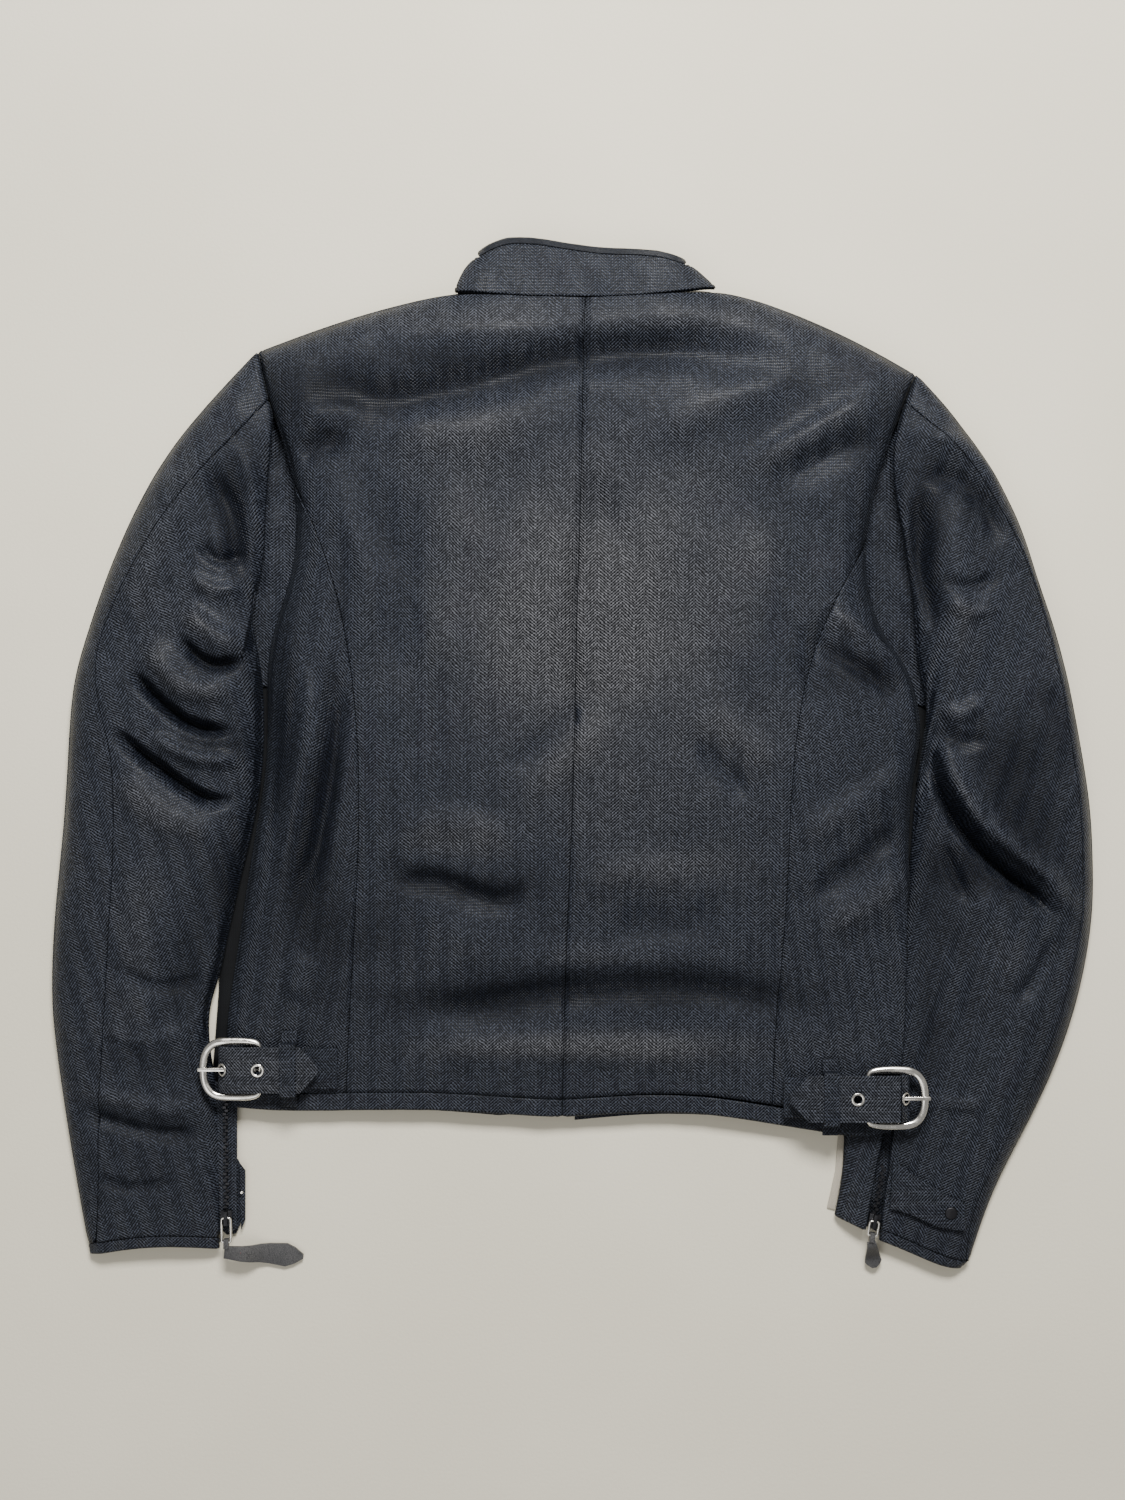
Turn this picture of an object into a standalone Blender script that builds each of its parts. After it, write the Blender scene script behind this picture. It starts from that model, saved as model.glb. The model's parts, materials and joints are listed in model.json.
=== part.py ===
"""Mesh-cloth motorcycle jacket, laid out on its front with its back facing up.

The frame: +X is the wearer's right, +Y runs from hem to collar, +Z is up. The jacket rests on Z = 0 and
the origin is the middle of its outline. Pattern points are shares of the jacket's laid-out width and
length. Hardware (buckles, eyelets, zips) keeps its own sizes when the jacket is graded up or down.
"""
import math
import bpy
import bmesh
from mathutils import Matrix, Vector

# ---- driving sizes, in metres -------------------------------------------------------------------
JACKET_WIDTH = 0.752
JACKET_LENGTH = 0.745
CHEST_HEIGHT = 0.033
HEM_HEIGHT = 0.0135
COLLAR_HEIGHT = 0.0255
CLOTH = 0.0024
LINING = 0.0012
SEAM_GAP = 0.0005
LAYER_GAP = 0.0004
FOLD_RADIUS = 0.022
HEM_BAND = 0.012
CUFF_BAND = 0.0075
COLLAR_BINDING = 0.0045
ARM_UNDER_HEM = 0.0122

PROTECTOR = 0.006
ARMOUR = 0.0045
PROTECTOR_SLACK = 0.0012

STRAP_WIDTH = 0.033
STRAP = 0.0020
STRAP_END = 0.028
STRAP_LIFT = {-1: 0.00006, 1: 0.0006}
STRAP_OVERHANG = {-1: 0.0025, 1: 0.00586}
BUCKLE_LENGTH = 0.0435
BUCKLE_MARGIN = 0.0012
BUCKLE_BAR = 0.0030
BUCKLE_BAR_RISE = 0.0040
BUCKLE_SECTION = (0.0050, 0.0030)
CHAPE = 0.0018
STRAP_BEND = 0.0055
STRAP_HANG = 0.004
PRONG_HOOK = 0.0014
PRONG_WIDTH = 0.0026
PRONG = 0.0015
EYELET_OUTER = 0.0100
EYELET_HOLE = 0.0060
EYELET = 0.0009
LOOP_WIDTH = 0.0115
LOOP_WALL = 0.0016
LOOP_FOOT = 0.010
HARDWARE_GAP = 0.0004

FRONT_ZIP_CHAIN = 0.006
ZIP_TAPE = 0.011
CUFF_ZIP_CHAIN = 0.0048
ZIP_CHAIN_HEIGHT = 0.0022
CUFF_ZIP_LENGTH = 0.090
SLIDER_LENGTH = 0.010
SLIDER_WALL = 0.0012
SLIDER_TOWER = 0.0026
CUFF_ZIP_LEVEL = {-1: 0.0068, 1: 0.0090}
RIGHT_ZIP_SHARE = 0.45
PULL_WIRE = 0.0018
PULL_RING_WIDTH = 0.0084
PULL_TAB = 0.0026
TAB_WALL = 0.0012
CUFF_STRAP = 0.0022
SNAP_HEIGHT = 0.0012

# ---- pattern lines, as shares of width and length, with the fold height where a line is a fold -----
NECK = ((-0.112, 0.446), (-0.069, 0.442), (0.012, 0.439), (0.079, 0.442), (0.136, 0.450))
COLLAR_TOP = ((-0.089, 0.487), (-0.062, 0.499), (-0.026, 0.497), (0.026, 0.488), (0.074, 0.487),
              (0.107, 0.479))
COLLAR_LEFT = ((-0.089, 0.487), (-0.104, 0.467), (-0.112, 0.447))
COLLAR_RIGHT = ((0.107, 0.479), (0.125, 0.462), (0.136, 0.451))
SHOULDER_LEFT = ((-0.301, 0.390), (-0.249, 0.411), (-0.188, 0.430), (-0.112, 0.446))
SHOULDER_RIGHT = ((0.136, 0.450), (0.201, 0.431), (0.252, 0.411), (0.290, 0.391), (0.328, 0.368))
ARMHOLE_LEFT = ((-0.301, 0.390), (-0.289, 0.339), (-0.276, 0.310), (-0.267, 0.263))
UNDERARM_LEFT = ((-0.267, 0.263), (-0.264, 0.229), (-0.267, 0.183), (-0.281, 0.138), (-0.293, 0.102))
ARMHOLE_RIGHT = ((0.328, 0.368), (0.307, 0.314), (0.292, 0.281), (0.283, 0.237), (0.281, 0.203))
UNDERARM_RIGHT = ((0.281, 0.203), (0.281, 0.180), (0.285, 0.150), (0.298, 0.115), (0.322, 0.088))
SIDE_LEFT = ((-0.293, 0.102), (-0.292, 0.012), (-0.297, -0.034), (-0.311, -0.120), (-0.321, -0.188),
             (-0.330, -0.246), (-0.333, -0.280), (-0.329, -0.340))
SIDE_RIGHT = ((0.322, 0.088), (0.335, 0.025), (0.325, -0.033), (0.321, -0.120), (0.318, -0.217),
              (0.315, -0.294), (0.305, -0.363))
HEM = ((-0.329, -0.340), (-0.261, -0.343), (-0.146, -0.342), (-0.079, -0.345), (-0.010, -0.349),
       (0.065, -0.344), (0.136, -0.347), (0.218, -0.360), (0.275, -0.367), (0.305, -0.363))
FRONT_DROP = 0.007
CENTRE_BACK = ((0.012, 0.439), (0.010, 0.382), (0.008, 0.266), (0.004, 0.131), (0.000, -0.043),
               (-0.006, -0.188), (-0.010, -0.349))
PRINCESS_LEFT = ((-0.267, 0.263), (-0.244, 0.218), (-0.222, 0.150), (-0.207, 0.063), (-0.202, -0.043),
                 (-0.206, -0.140), (-0.213, -0.246), (-0.218, -0.343))
PRINCESS_RIGHT = ((0.281, 0.203), (0.251, 0.155), (0.229, 0.102), (0.215, 0.044), (0.207, -0.033),
                  (0.204, -0.120), (0.199, -0.207), (0.194, -0.265), (0.191, -0.354))

SLEEVE_OUTER_LEFT = ((-0.301, 0.390), (-0.338, 0.353), (-0.372, 0.314), (-0.399, 0.276), (-0.420, 0.237),
                     (-0.445, 0.179), (-0.458, 0.141), (-0.471, 0.102), (-0.481, 0.063), (-0.484, 0.005),
                     (-0.489, -0.072), (-0.497, -0.149), (-0.501, -0.236), (-0.495, -0.294),
                     (-0.485, -0.362), (-0.474, -0.429), (-0.464, -0.484))
SLEEVE_SEAM_LEFT = ((-0.284, 0.342), (-0.320, 0.308), (-0.356, 0.271), (-0.390, 0.228), (-0.419, 0.179),
                    (-0.443, 0.131), (-0.456, 0.087), (-0.452, 0.054), (-0.440, 0.020), (-0.436, -0.043),
                    (-0.438, -0.120), (-0.444, -0.198), (-0.449, -0.275), (-0.454, -0.352),
                    (-0.455, -0.484))
SLEEVE_CROWN_LEFT = ((-0.301, 0.390), (-0.2895, 0.342))
SLEEVE_TOP_LEFT = ((-0.2895, 0.342), (-0.282, 0.314), (-0.292, 0.284), (-0.294, 0.252), (-0.291, 0.213),
                   (-0.297, 0.171), (-0.308, 0.138), (-0.300, 0.094))
SLEEVE_INNER_LEFT = ((-0.300, 0.094), (-0.298, 0.012), (-0.305, -0.052), (-0.319, -0.111), (-0.332, -0.169),
                     (-0.343, -0.222), (-0.352, -0.246), (-0.351, -0.285), (-0.3415, -0.343),
                     (-0.3410, -0.398), (-0.3410, -0.443), (-0.3410, -0.478))
SLEEVE_CUFF_LEFT = ((-0.464, -0.484), (-0.415, -0.476), (-0.376, -0.475), (-0.341, -0.478))

SLEEVE_OUTER_RIGHT = ((0.328, 0.368), (0.362, 0.334), (0.390, 0.295), (0.414, 0.257), (0.432, 0.218),
                      (0.443, 0.179), (0.457, 0.141), (0.469, 0.102), (0.478, 0.063), (0.485, 0.025),
                      (0.492, -0.014), (0.498, -0.053), (0.500, -0.111), (0.500, -0.159), (0.494, -0.196),
                      (0.483, -0.246), (0.463, -0.304), (0.435, -0.362), (0.415, -0.400), (0.400, -0.426),
                      (0.393, -0.454), (0.385, -0.486), (0.373, -0.498))
SLEEVE_SEAM_RIGHT = ((0.317, 0.340), (0.348, 0.313), (0.380, 0.281), (0.409, 0.236), (0.434, 0.184),
                     (0.452, 0.125), (0.466, 0.066), (0.476, 0.008), (0.484, -0.053), (0.486, -0.111),
                     (0.486, -0.159), (0.480, -0.196), (0.470, -0.240), (0.450, -0.298), (0.423, -0.356),
                     (0.402, -0.400), (0.388, -0.426), (0.379, -0.454), (0.370, -0.494))
SLEEVE_CROWN_RIGHT = ((0.328, 0.368), (0.317, 0.340))
SLEEVE_TOP_RIGHT = ((0.317, 0.340), (0.310, 0.314), (0.302, 0.297), (0.307, 0.257), (0.313, 0.224),
                    (0.325, 0.187), (0.325, 0.150), (0.326, 0.110), (0.341, 0.045))
SLEEVE_EDGE_RIGHT = ((0.341, 0.045), (0.347, 0.010), (0.333, -0.025), (0.329, -0.060), (0.327, -0.101),
                     (0.318, -0.169), (0.299, -0.236), (0.277, -0.294), (0.264, -0.362),
                     (0.262, -0.405), (0.254, -0.447))
SLEEVE_INNER_RIGHT = ((0.341, 0.045), (0.347, 0.010), (0.333, -0.025), (0.329, -0.060), (0.327, -0.101),
                      (0.318, -0.169), (0.305, -0.236), (0.308, -0.294), (0.309, -0.342),
                      (0.307, -0.385), (0.301, -0.423), (0.2955, -0.469))
CUFF_GUSSET_LEFT = ((0.2995, -0.241), (0.277, -0.294), (0.264, -0.362), (0.262, -0.405), (0.254, -0.447))
CUFF_GUSSET_RIGHT = ((0.302, -0.243), (0.305, -0.294), (0.303, -0.342), (0.2935, -0.385), (0.2865, -0.423),
                     (0.2805, -0.459))
CUFF_GUSSET_END = ((0.254, -0.447), (0.268, -0.453), (0.2805, -0.459))
SLEEVE_CUFF_RIGHT = ((0.373, -0.498), (0.352, -0.493), (0.318, -0.478), (0.2955, -0.469))
SLEEVE_MOUTH_RIGHT = ((0.373, -0.498), (0.352, -0.493), (0.318, -0.478), (0.294, -0.468), (0.254, -0.447))

# places of the hardware on the pattern
BUCKLE_LEVEL = {-1: -0.302, 1: -0.329}
CUFF_ZIP_LEFT = (-0.3325, -0.448)
CUFF_ZIP_RIGHT = (0.2895, -0.4507)


def shares(point):
    """A pattern point in metres."""
    return Vector((point[0] * JACKET_WIDTH, point[1] * JACKET_LENGTH))


def smoothstep(start, end, value):
    t = min(max((value - start) / (end - start), 0.0), 1.0)
    return t * t * (3.0 - 2.0 * t)


def mix(a, b, t):
    return a + (b - a) * t


def smooth_line(points, spans=10):
    """A Catmull-Rom curve through the points, as a dense polyline."""
    ends = [points[0] * 2 - points[1]] + list(points) + [points[-1] * 2 - points[-2]]
    line = []
    for a, b, c, d in zip(ends, ends[1:], ends[2:], ends[3:]):
        for k in range(spans):
            t = k / spans
            line.append(0.5 * (2 * b + (c - a) * t + (2 * a - 5 * b + 4 * c - d) * t * t
                               + (3 * b - a - 3 * c + d) * t ** 3))
    return line + [points[-1].copy()]


def pattern(*lines):
    """Pattern lines as one dense polyline in metres, each line smooth and meeting the next at a corner."""
    whole = []
    for line in lines:
        whole += smooth_line([shares(p) for p in line])[1 if whole else 0:]
    return whole


def at_fractions(line, fractions):
    """Points at the given shares of a polyline's length."""
    lengths = [0.0]
    for a, b in zip(line, line[1:]):
        lengths.append(lengths[-1] + (b - a).length)
    found = []
    k = 0
    for f in fractions:
        goal = f * lengths[-1]
        while k < len(lengths) - 2 and lengths[k + 1] < goal:
            k += 1
        span = lengths[k + 1] - lengths[k]
        found.append(line[k].lerp(line[k + 1], min(max((goal - lengths[k]) / span, 0.0), 1.0)))
    return found


def even(count):
    return [k / count for k in range(count + 1)]


def near_start(count):
    return [1 - math.cos(math.pi / 2 * k / count) for k in range(count + 1)]


def near_end(count):
    return [1 - f for f in reversed(near_start(count))]


def near_both(count):
    return [(1 - math.cos(math.pi * k / count)) / 2 for k in range(count + 1)]


def coons(top, bottom, left, right, across, down):
    """Rows of plan points filling four boundary lines. top and bottom run left to right, the others down.

    A line that already has one point for each row or column keeps its points, as a shared seam does.
    """
    t, b = [line if len(line) == len(across) else at_fractions(line, across) for line in (top, bottom)]
    l, r = [line if len(line) == len(down) else at_fractions(line, down) for line in (left, right)]
    rows = []
    for j, v in enumerate(down):
        row = []
        for i, u in enumerate(across):
            ruled = l[j].lerp(r[j], u) + t[i].lerp(b[i], v)
            corners = t[0].lerp(t[-1], u).lerp(b[0].lerp(b[-1], u), v)
            row.append(ruled - corners)
        rows.append(row)
    return rows


def rim_of(rows):
    """The grid indices round a grid's edge, in order."""
    h, w = len(rows) - 1, len(rows[0]) - 1
    rim = [(0, i) for i in range(w)] + [(j, w) for j in range(h)]
    return rim + [(h, i) for i in range(w, 0, -1)] + [(j, 0) for j in range(h, 0, -1)]


def drawn_in(rows, inset):
    """The grid with its edge moved inwards, so that neighbours along a seam never touch."""
    rim = rim_of(rows)
    points = [rows[j][i].copy() for j, i in rim]
    area = sum(a.x * b.y - b.x * a.y for a, b in zip(points, points[1:] + points[:1]))
    turn = 1.0 if area > 0 else -1.0
    for k, (j, i) in enumerate(rim):
        before = (points[k] - points[k - 1]).normalized()
        after = (points[(k + 1) % len(points)] - points[k]).normalized()
        mitre = Vector((-(before.y + after.y), before.x + after.x)) * turn
        mitre.normalize()
        normal = Vector((-after.y, after.x)) * turn
        rows[j][i] = points[k] + mitre * inset / max(mitre.dot(normal), 0.4)
    return rows


class Folds:
    """Cloth height over a plan: a plateau that rolls down to the height of the nearest fold line."""

    def __init__(self, plateau, radius, *lines):
        """Each line is (dense plan points, fold heights spread evenly along it)."""
        self.plateau = plateau
        self.radius = radius
        self.segments = []
        for points, heights in lines:
            last = len(points) - 1
            values = [self.along(heights, k / last) for k in range(last + 1)]
            self.segments += list(zip(points, points[1:], values, values[1:]))

    @staticmethod
    def along(heights, share):
        place = share * (len(heights) - 1)
        k = min(int(place), len(heights) - 2)
        return mix(heights[k], heights[k + 1], place - k)

    def nearest(self, p):
        best = (1e9, 0.0)
        for a, b, ha, hb in self.segments:
            d = b - a
            t = min(max((p - a).dot(d) / max(d.length_squared, 1e-12), 0.0), 1.0)
            away = (a + d * t - p).length
            if away < best[0]:
                best = (away, mix(ha, hb, t))
        return best

    def __call__(self, p):
        away, rim = self.nearest(p)
        t = min(away / self.radius, 1.0)
        return rim + (self.plateau(p) - rim) * math.sqrt(max(1 - (1 - t) ** 2, 0.0))


# ---- meshes -------------------------------------------------------------------------------------
def material(name, colour, roughness, metallic=0.0):
    made = bpy.data.materials.new(name)
    made.use_nodes = True
    shader = made.node_tree.nodes["Principled BSDF"]
    shader.inputs["Base Color"].default_value = (*colour, 1.0)
    shader.inputs["Roughness"].default_value = roughness
    shader.inputs["Metallic"].default_value = metallic
    made.diffuse_color = (*colour, 1.0)
    return made


def add_object(name, bm, made_of, origin=(0.0, 0.0, 0.0), smooth=True):
    """One named object from a bmesh in world coordinates, with its origin where it turns."""
    bmesh.ops.remove_doubles(bm, verts=bm.verts, dist=1e-6)
    bmesh.ops.recalc_face_normals(bm, faces=bm.faces)
    origin = Vector(origin)
    bmesh.ops.translate(bm, verts=bm.verts, vec=-origin)
    mesh = bpy.data.meshes.new(name)
    bm.to_mesh(mesh)
    bm.free()
    mesh.materials.append(made_of)
    if smooth:
        mesh.shade_smooth()
        mesh.set_sharp_from_angle(angle=math.radians(40))
    made = bpy.data.objects.new(name, mesh)
    made.location = origin
    bpy.context.collection.objects.link(made)
    return made


def sheet(name, rows, top_of, thickness, made_of, inset=SEAM_GAP / 2, origin=(0.0, 0.0, 0.0)):
    """A closed solid: a plan grid laid at top_of(point), with the same thickness everywhere."""
    rows = drawn_in(rows, inset)
    bm = bmesh.new()
    upper = [[bm.verts.new((*p, top_of(p))) for p in row] for row in rows]
    lower = [[bm.verts.new((*p, top_of(p) - thickness)) for p in row] for row in rows]
    for j in range(len(rows) - 1):
        for i in range(len(rows[0]) - 1):
            square = ((j, i), (j + 1, i), (j + 1, i + 1), (j, i + 1))
            bm.faces.new([upper[a][b] for a, b in square])
            bm.faces.new([lower[a][b] for a, b in reversed(square)])
    rim = rim_of(rows)
    for (j, i), (n, m) in zip(rim, rim[1:] + rim[:1]):
        bm.faces.new((upper[j][i], upper[n][m], lower[n][m], lower[j][i]))
    return add_object(name, bm, made_of, origin)


def plate(name, outline, low, high, made_of, origin=(0.0, 0.0, 0.0)):
    """A flat closed solid from a plan outline."""
    bm = bmesh.new()
    face = bm.faces.new([bm.verts.new((p[0], p[1], low)) for p in outline])
    grown = bmesh.ops.extrude_face_region(bm, geom=[face])
    raised = [v for v in grown["geom"] if isinstance(v, bmesh.types.BMVert)]
    bmesh.ops.translate(bm, verts=raised, vec=(0, 0, high - low))
    return add_object(name, bm, made_of, origin)


def extruded(outline, direction, half, place):
    """A bmesh of a closed outline drawn in (along, up), pushed half its width to each side.

    direction is the plan direction of 'along', and place the world point of the outline's (0, 0).
    """
    along = Vector((direction[0], direction[1], 0)).normalized()
    side = Vector((-along.y, along.x, 0))
    bm = bmesh.new()
    corners = [Vector(place) + along * a + Vector((0, 0, z)) - side * half for a, z in outline]
    face = bm.faces.new([bm.verts.new(c) for c in corners])
    grown = bmesh.ops.extrude_face_region(bm, geom=[face])
    moved = [v for v in grown["geom"] if isinstance(v, bmesh.types.BMVert)]
    bmesh.ops.translate(bm, verts=moved, vec=side * half * 2)
    return bm


def swept_loop(path, widths, height, sides=8):
    """A bmesh of a closed band along a closed path lying flat, with a rounded section."""
    bm = bmesh.new()
    rings = []
    count = len(path)
    for k in range(count):
        tangent = (path[(k + 1) % count] - path[k - 1]).normalized()
        outward = Vector((tangent.y, -tangent.x, 0))
        ring = []
        for s in range(sides):
            turn = 2 * math.pi * (s + 0.5) / sides
            reach = outward * math.cos(turn) * widths[k] / 2
            ring.append(bm.verts.new(path[k] + reach + Vector((0, 0, math.sin(turn) * height / 2))))
        rings.append(ring)
    for a, b in zip(rings, rings[1:] + rings[:1]):
        for s in range(sides):
            n = (s + 1) % sides
            bm.faces.new((a[s], b[s], b[n], a[n]))
    return bm


def combine(kept, other, operation):
    """Boolean of two objects, applied, so that only the first is left."""
    step = kept.modifiers.new(operation.lower(), "BOOLEAN")
    step.object = other
    step.operation = operation
    step.solver = "EXACT"
    shaped = bpy.data.meshes.new_from_object(kept.evaluated_get(bpy.context.evaluated_depsgraph_get()))
    kept.modifiers.clear()
    kept.data = shaped
    bpy.data.objects.remove(other)
    return kept


def drill(target, centre, axis, radius, length, sides=16):
    """Cuts a round hole through an object."""
    bm = bmesh.new()
    bmesh.ops.create_cone(bm, cap_ends=True, segments=sides, radius1=radius, radius2=radius, depth=length)
    turn = Vector((0, 0, 1)).rotation_difference(Vector(axis)).to_matrix().to_4x4()
    bmesh.ops.transform(bm, matrix=Matrix.Translation(centre) @ turn, verts=bm.verts)
    return combine(target, add_object("cutter", bm, target.data.materials[0]), "DIFFERENCE")


# ---- heights of the cloth -----------------------------------------------------------------------
FOLD = 2 * CLOTH + LAYER_GAP
ARMHOLE_SEAM = 0.016


def hem_lift(p):
    """How far the torso's lower right corner is held up by the forearm that lies under it."""
    x, y = p.x / JACKET_WIDTH, p.y / JACKET_LENGTH
    return (ARM_UNDER_HEM + LAYER_GAP) * smoothstep(0.214, 0.258, x) * smoothstep(-0.072, -0.140, y)


def torso_plateau(p):
    y = p.y / JACKET_LENGTH
    body = mix(CHEST_HEIGHT, HEM_HEIGHT, smoothstep(0.0, -0.342, y))
    body = mix(body, COLLAR_HEIGHT + 0.001, smoothstep(0.34, 0.44, y))
    return max(body, hem_lift(p) + FOLD + 0.0008)


def side_folds(lift_line):
    """Fold heights along a side, each raised by what lies under the jacket there."""
    return [FOLD + hem_lift(p) for p in lift_line]


def torso_height():
    left = pattern(SIDE_LEFT)
    right = pattern(SIDE_RIGHT)
    return Folds(
        torso_plateau, FOLD_RADIUS,
        (pattern(SHOULDER_LEFT), (0.009, FOLD, 0.008, 0.018)),
        (pattern(SHOULDER_RIGHT), (0.018, 0.008, FOLD, 0.009)),
        (pattern(ARMHOLE_LEFT), (0.009, ARMHOLE_SEAM, ARMHOLE_SEAM, 0.009)),
        (pattern(ARMHOLE_RIGHT), (0.009, ARMHOLE_SEAM, ARMHOLE_SEAM, 0.009)),
        (pattern(UNDERARM_LEFT), (0.009, FOLD, FOLD)),
        (pattern(UNDERARM_RIGHT), (0.009, FOLD, FOLD)),
        (left, side_folds(left)),
        (right, side_folds(right)),
    )


def sleeve_height(side):
    """Height over one sleeve. The right forearm stays low where the torso's corner lies on it."""
    knots = ((0.390, 0.026), (0.100, 0.029), (-0.120, 0.025), (-0.300, 0.0165), (-0.500, 0.0128))

    def plateau(p):
        x, y = p.x / JACKET_WIDTH, p.y / JACKET_LENGTH
        height = knots[0][1]
        for (upper, a), (lower, b) in zip(knots, knots[1:]):
            if y <= upper:
                height = mix(a, b, smoothstep(upper, lower, y))
        if side > 0:
            low = smoothstep(-0.020, -0.110, y) * (1 - smoothstep(0.330, 0.385, x))
            height = mix(height, ARM_UNDER_HEM, low)
        return height

    outer, crown, top = (
        (SLEEVE_OUTER_LEFT, SLEEVE_CROWN_LEFT, SLEEVE_TOP_LEFT) if side < 0 else
        (SLEEVE_OUTER_RIGHT, SLEEVE_CROWN_RIGHT, SLEEVE_TOP_RIGHT))
    return Folds(
        plateau, FOLD_RADIUS * 0.9,
        (pattern(outer), (0.009, FOLD, FOLD)),
        (pattern(crown), (0.009, ARMHOLE_SEAM)),
        (pattern(top), (ARMHOLE_SEAM, ARMHOLE_SEAM, 0.008, FOLD, FOLD)),
        (pattern(SLEEVE_INNER_LEFT), (FOLD, FOLD, FOLD, FOLD, FOLD, 0.0085)) if side < 0 else
        (pattern(SLEEVE_EDGE_RIGHT), (FOLD, FOLD)),
    )


# ---- torso --------------------------------------------------------------------------------------
def split_line(line, share):
    """The part of a polyline before a share of its length, and the part after it."""
    return at_fractions(line, [share * f for f in even(60)]), \
        at_fractions(line, [share + (1 - share) * f for f in even(60)])


def raised_hem(line):
    """The hem line moved up by the width of its band."""
    return [p + Vector((0, HEM_BAND)) for p in line]


def cut_at_band(line):
    """A side or seam line, shortened to stop at the top of the hem band."""
    whole = sum((b - a).length for a, b in zip(line, line[1:]))
    return split_line(line, 1 - HEM_BAND / whole)[0]


def share_at(line, x):
    """The share of a polyline's length where it passes x."""
    lengths = [0.0]
    for a, b in zip(line, line[1:]):
        lengths.append(lengths[-1] + (b - a).length)
    k = next((k for k, p in enumerate(line[1:]) if p.x >= x), len(line) - 2)
    t = (x - line[k].x) / max(line[k + 1].x - line[k].x, 1e-9)
    return mix(lengths[k], lengths[k + 1], min(max(t, 0.0), 1.0)) / lengths[-1]


def between(line, left_x, right_x):
    """The stretch of a line that runs from one x to another."""
    a, b = share_at(line, left_x), share_at(line, right_x)
    return at_fractions(line, [mix(a, b, f) for f in even(60)])


def make_back(height, cloth, band_cloth):
    hem = pattern(HEM)
    hem_top = raised_hem(hem)
    centre = cut_at_band(pattern(CENTRE_BACK))
    neck = pattern(NECK)
    neck_left, neck_right = split_line(neck, share_at(neck, centre[0].x))
    seams = {-1: cut_at_band(pattern(PRINCESS_LEFT)), 1: cut_at_band(pattern(PRINCESS_RIGHT))}
    sides = {-1: cut_at_band(pattern(SIDE_LEFT)), 1: cut_at_band(pattern(SIDE_RIGHT))}

    armhole_rows, seam_rows = near_start(5), even(16)
    shared = {side: at_fractions(seams[side], seam_rows) for side in (-1, 1)}
    left_edge = at_fractions(pattern(ARMHOLE_LEFT), armhole_rows) + shared[-1][1:]
    right_edge = at_fractions(pattern(ARMHOLE_RIGHT), armhole_rows) + shared[1][1:]
    rows = [0.17 * f for f in armhole_rows] + [mix(0.17, 1.0, f) for f in seam_rows[1:]]
    sheet("back_panel_left",
          coons(pattern(SHOULDER_LEFT) + neck_left[1:], between(hem_top, left_edge[-1].x, centre[-1].x),
                left_edge, centre, near_start(8), rows),
          height, CLOTH, cloth)
    sheet("back_panel_right",
          coons(neck_right + pattern(SHOULDER_RIGHT)[1:], between(hem_top, centre[-1].x, right_edge[-1].x),
                centre, right_edge, near_end(8), rows),
          height, CLOTH, cloth)

    under = {-1: pattern(UNDERARM_LEFT), 1: pattern(UNDERARM_RIGHT)}
    cuts = {side: split_line(under[side], 0.25) for side in (-1, 1)}
    sheet("side_back_panel_left",
          coons(list(reversed(cuts[-1][0])), between(hem_top, sides[-1][-1].x, seams[-1][-1].x),
                cuts[-1][1] + sides[-1][1:], shared[-1], near_start(5), seam_rows),
          height, CLOTH, cloth)
    sheet("side_back_panel_right",
          coons(cuts[1][0], between(hem_top, seams[1][-1].x, sides[1][-1].x),
                shared[1], cuts[1][1] + sides[1][1:], near_end(5), seam_rows),
          height, CLOTH, cloth)

    middle_x = pattern(CENTRE_BACK)[-1].x
    for side, name in ((-1, "hem_band_left"), (1, "hem_band_right")):
        ends = (hem[0].x, middle_x) if side < 0 else (middle_x, hem[-1].x)
        tops = (sides[-1][-1].x, centre[-1].x) if side < 0 else (centre[-1].x, sides[1][-1].x)
        lower, upper = between(hem, *ends), between(hem_top, *tops)
        across = near_start(14) if side < 0 else near_end(14)
        sheet(name, coons(upper, lower, [upper[0], lower[0]], [upper[-1], lower[-1]], across, even(1)),
              height, CLOTH, band_cloth)


def zip_x(y):
    """The centre front line, which leans the way the centre back does."""
    line = pattern(CENTRE_BACK)
    return mix(line[0].x, line[-1].x, (line[0].y - y) / (line[0].y - line[-1].y))


def make_front(cloth):
    """The front layer, lifted off the ground only where the right forearm lies under it."""
    inward = 0.004
    half_gap = FRONT_ZIP_CHAIN / 2 + 0.004
    hem = [p - Vector((0, FRONT_DROP)) for p in pattern(HEM)]
    neck = pattern(NECK)

    def top_of(p):
        return CLOTH + hem_lift(p) * 0.985

    for side, name in ((-1, "front_panel_left"), (1, "front_panel_right")):
        middle_top = Vector((zip_x(neck[0].y) + side * half_gap, neck[20].y))
        middle_low = Vector((zip_x(hem[0].y) + side * half_gap, hem[40].y))
        centre = [middle_top, middle_low]
        if side < 0:
            edge = pattern(ARMHOLE_LEFT, UNDERARM_LEFT, SIDE_LEFT)
            shoulder = pattern(SHOULDER_LEFT) + between(neck, neck[0].x + 1e-6, middle_top.x)[1:]
            low = between(hem, edge[-1].x + 1e-4, middle_low.x)
            rows = coons(shoulder, low, edge, centre, even(6), even(14))
        else:
            edge = pattern(ARMHOLE_RIGHT, UNDERARM_RIGHT, SIDE_RIGHT)
            shoulder = between(neck, middle_top.x, neck[-1].x - 1e-6) + pattern(SHOULDER_RIGHT)[1:]
            low = between(hem, middle_low.x, edge[-1].x - 1e-4)
            rows = coons(shoulder, low, centre, edge, near_end(7), even(18))
        sheet(name, rows, top_of, CLOTH, cloth, inset=inward / 2)


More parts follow.
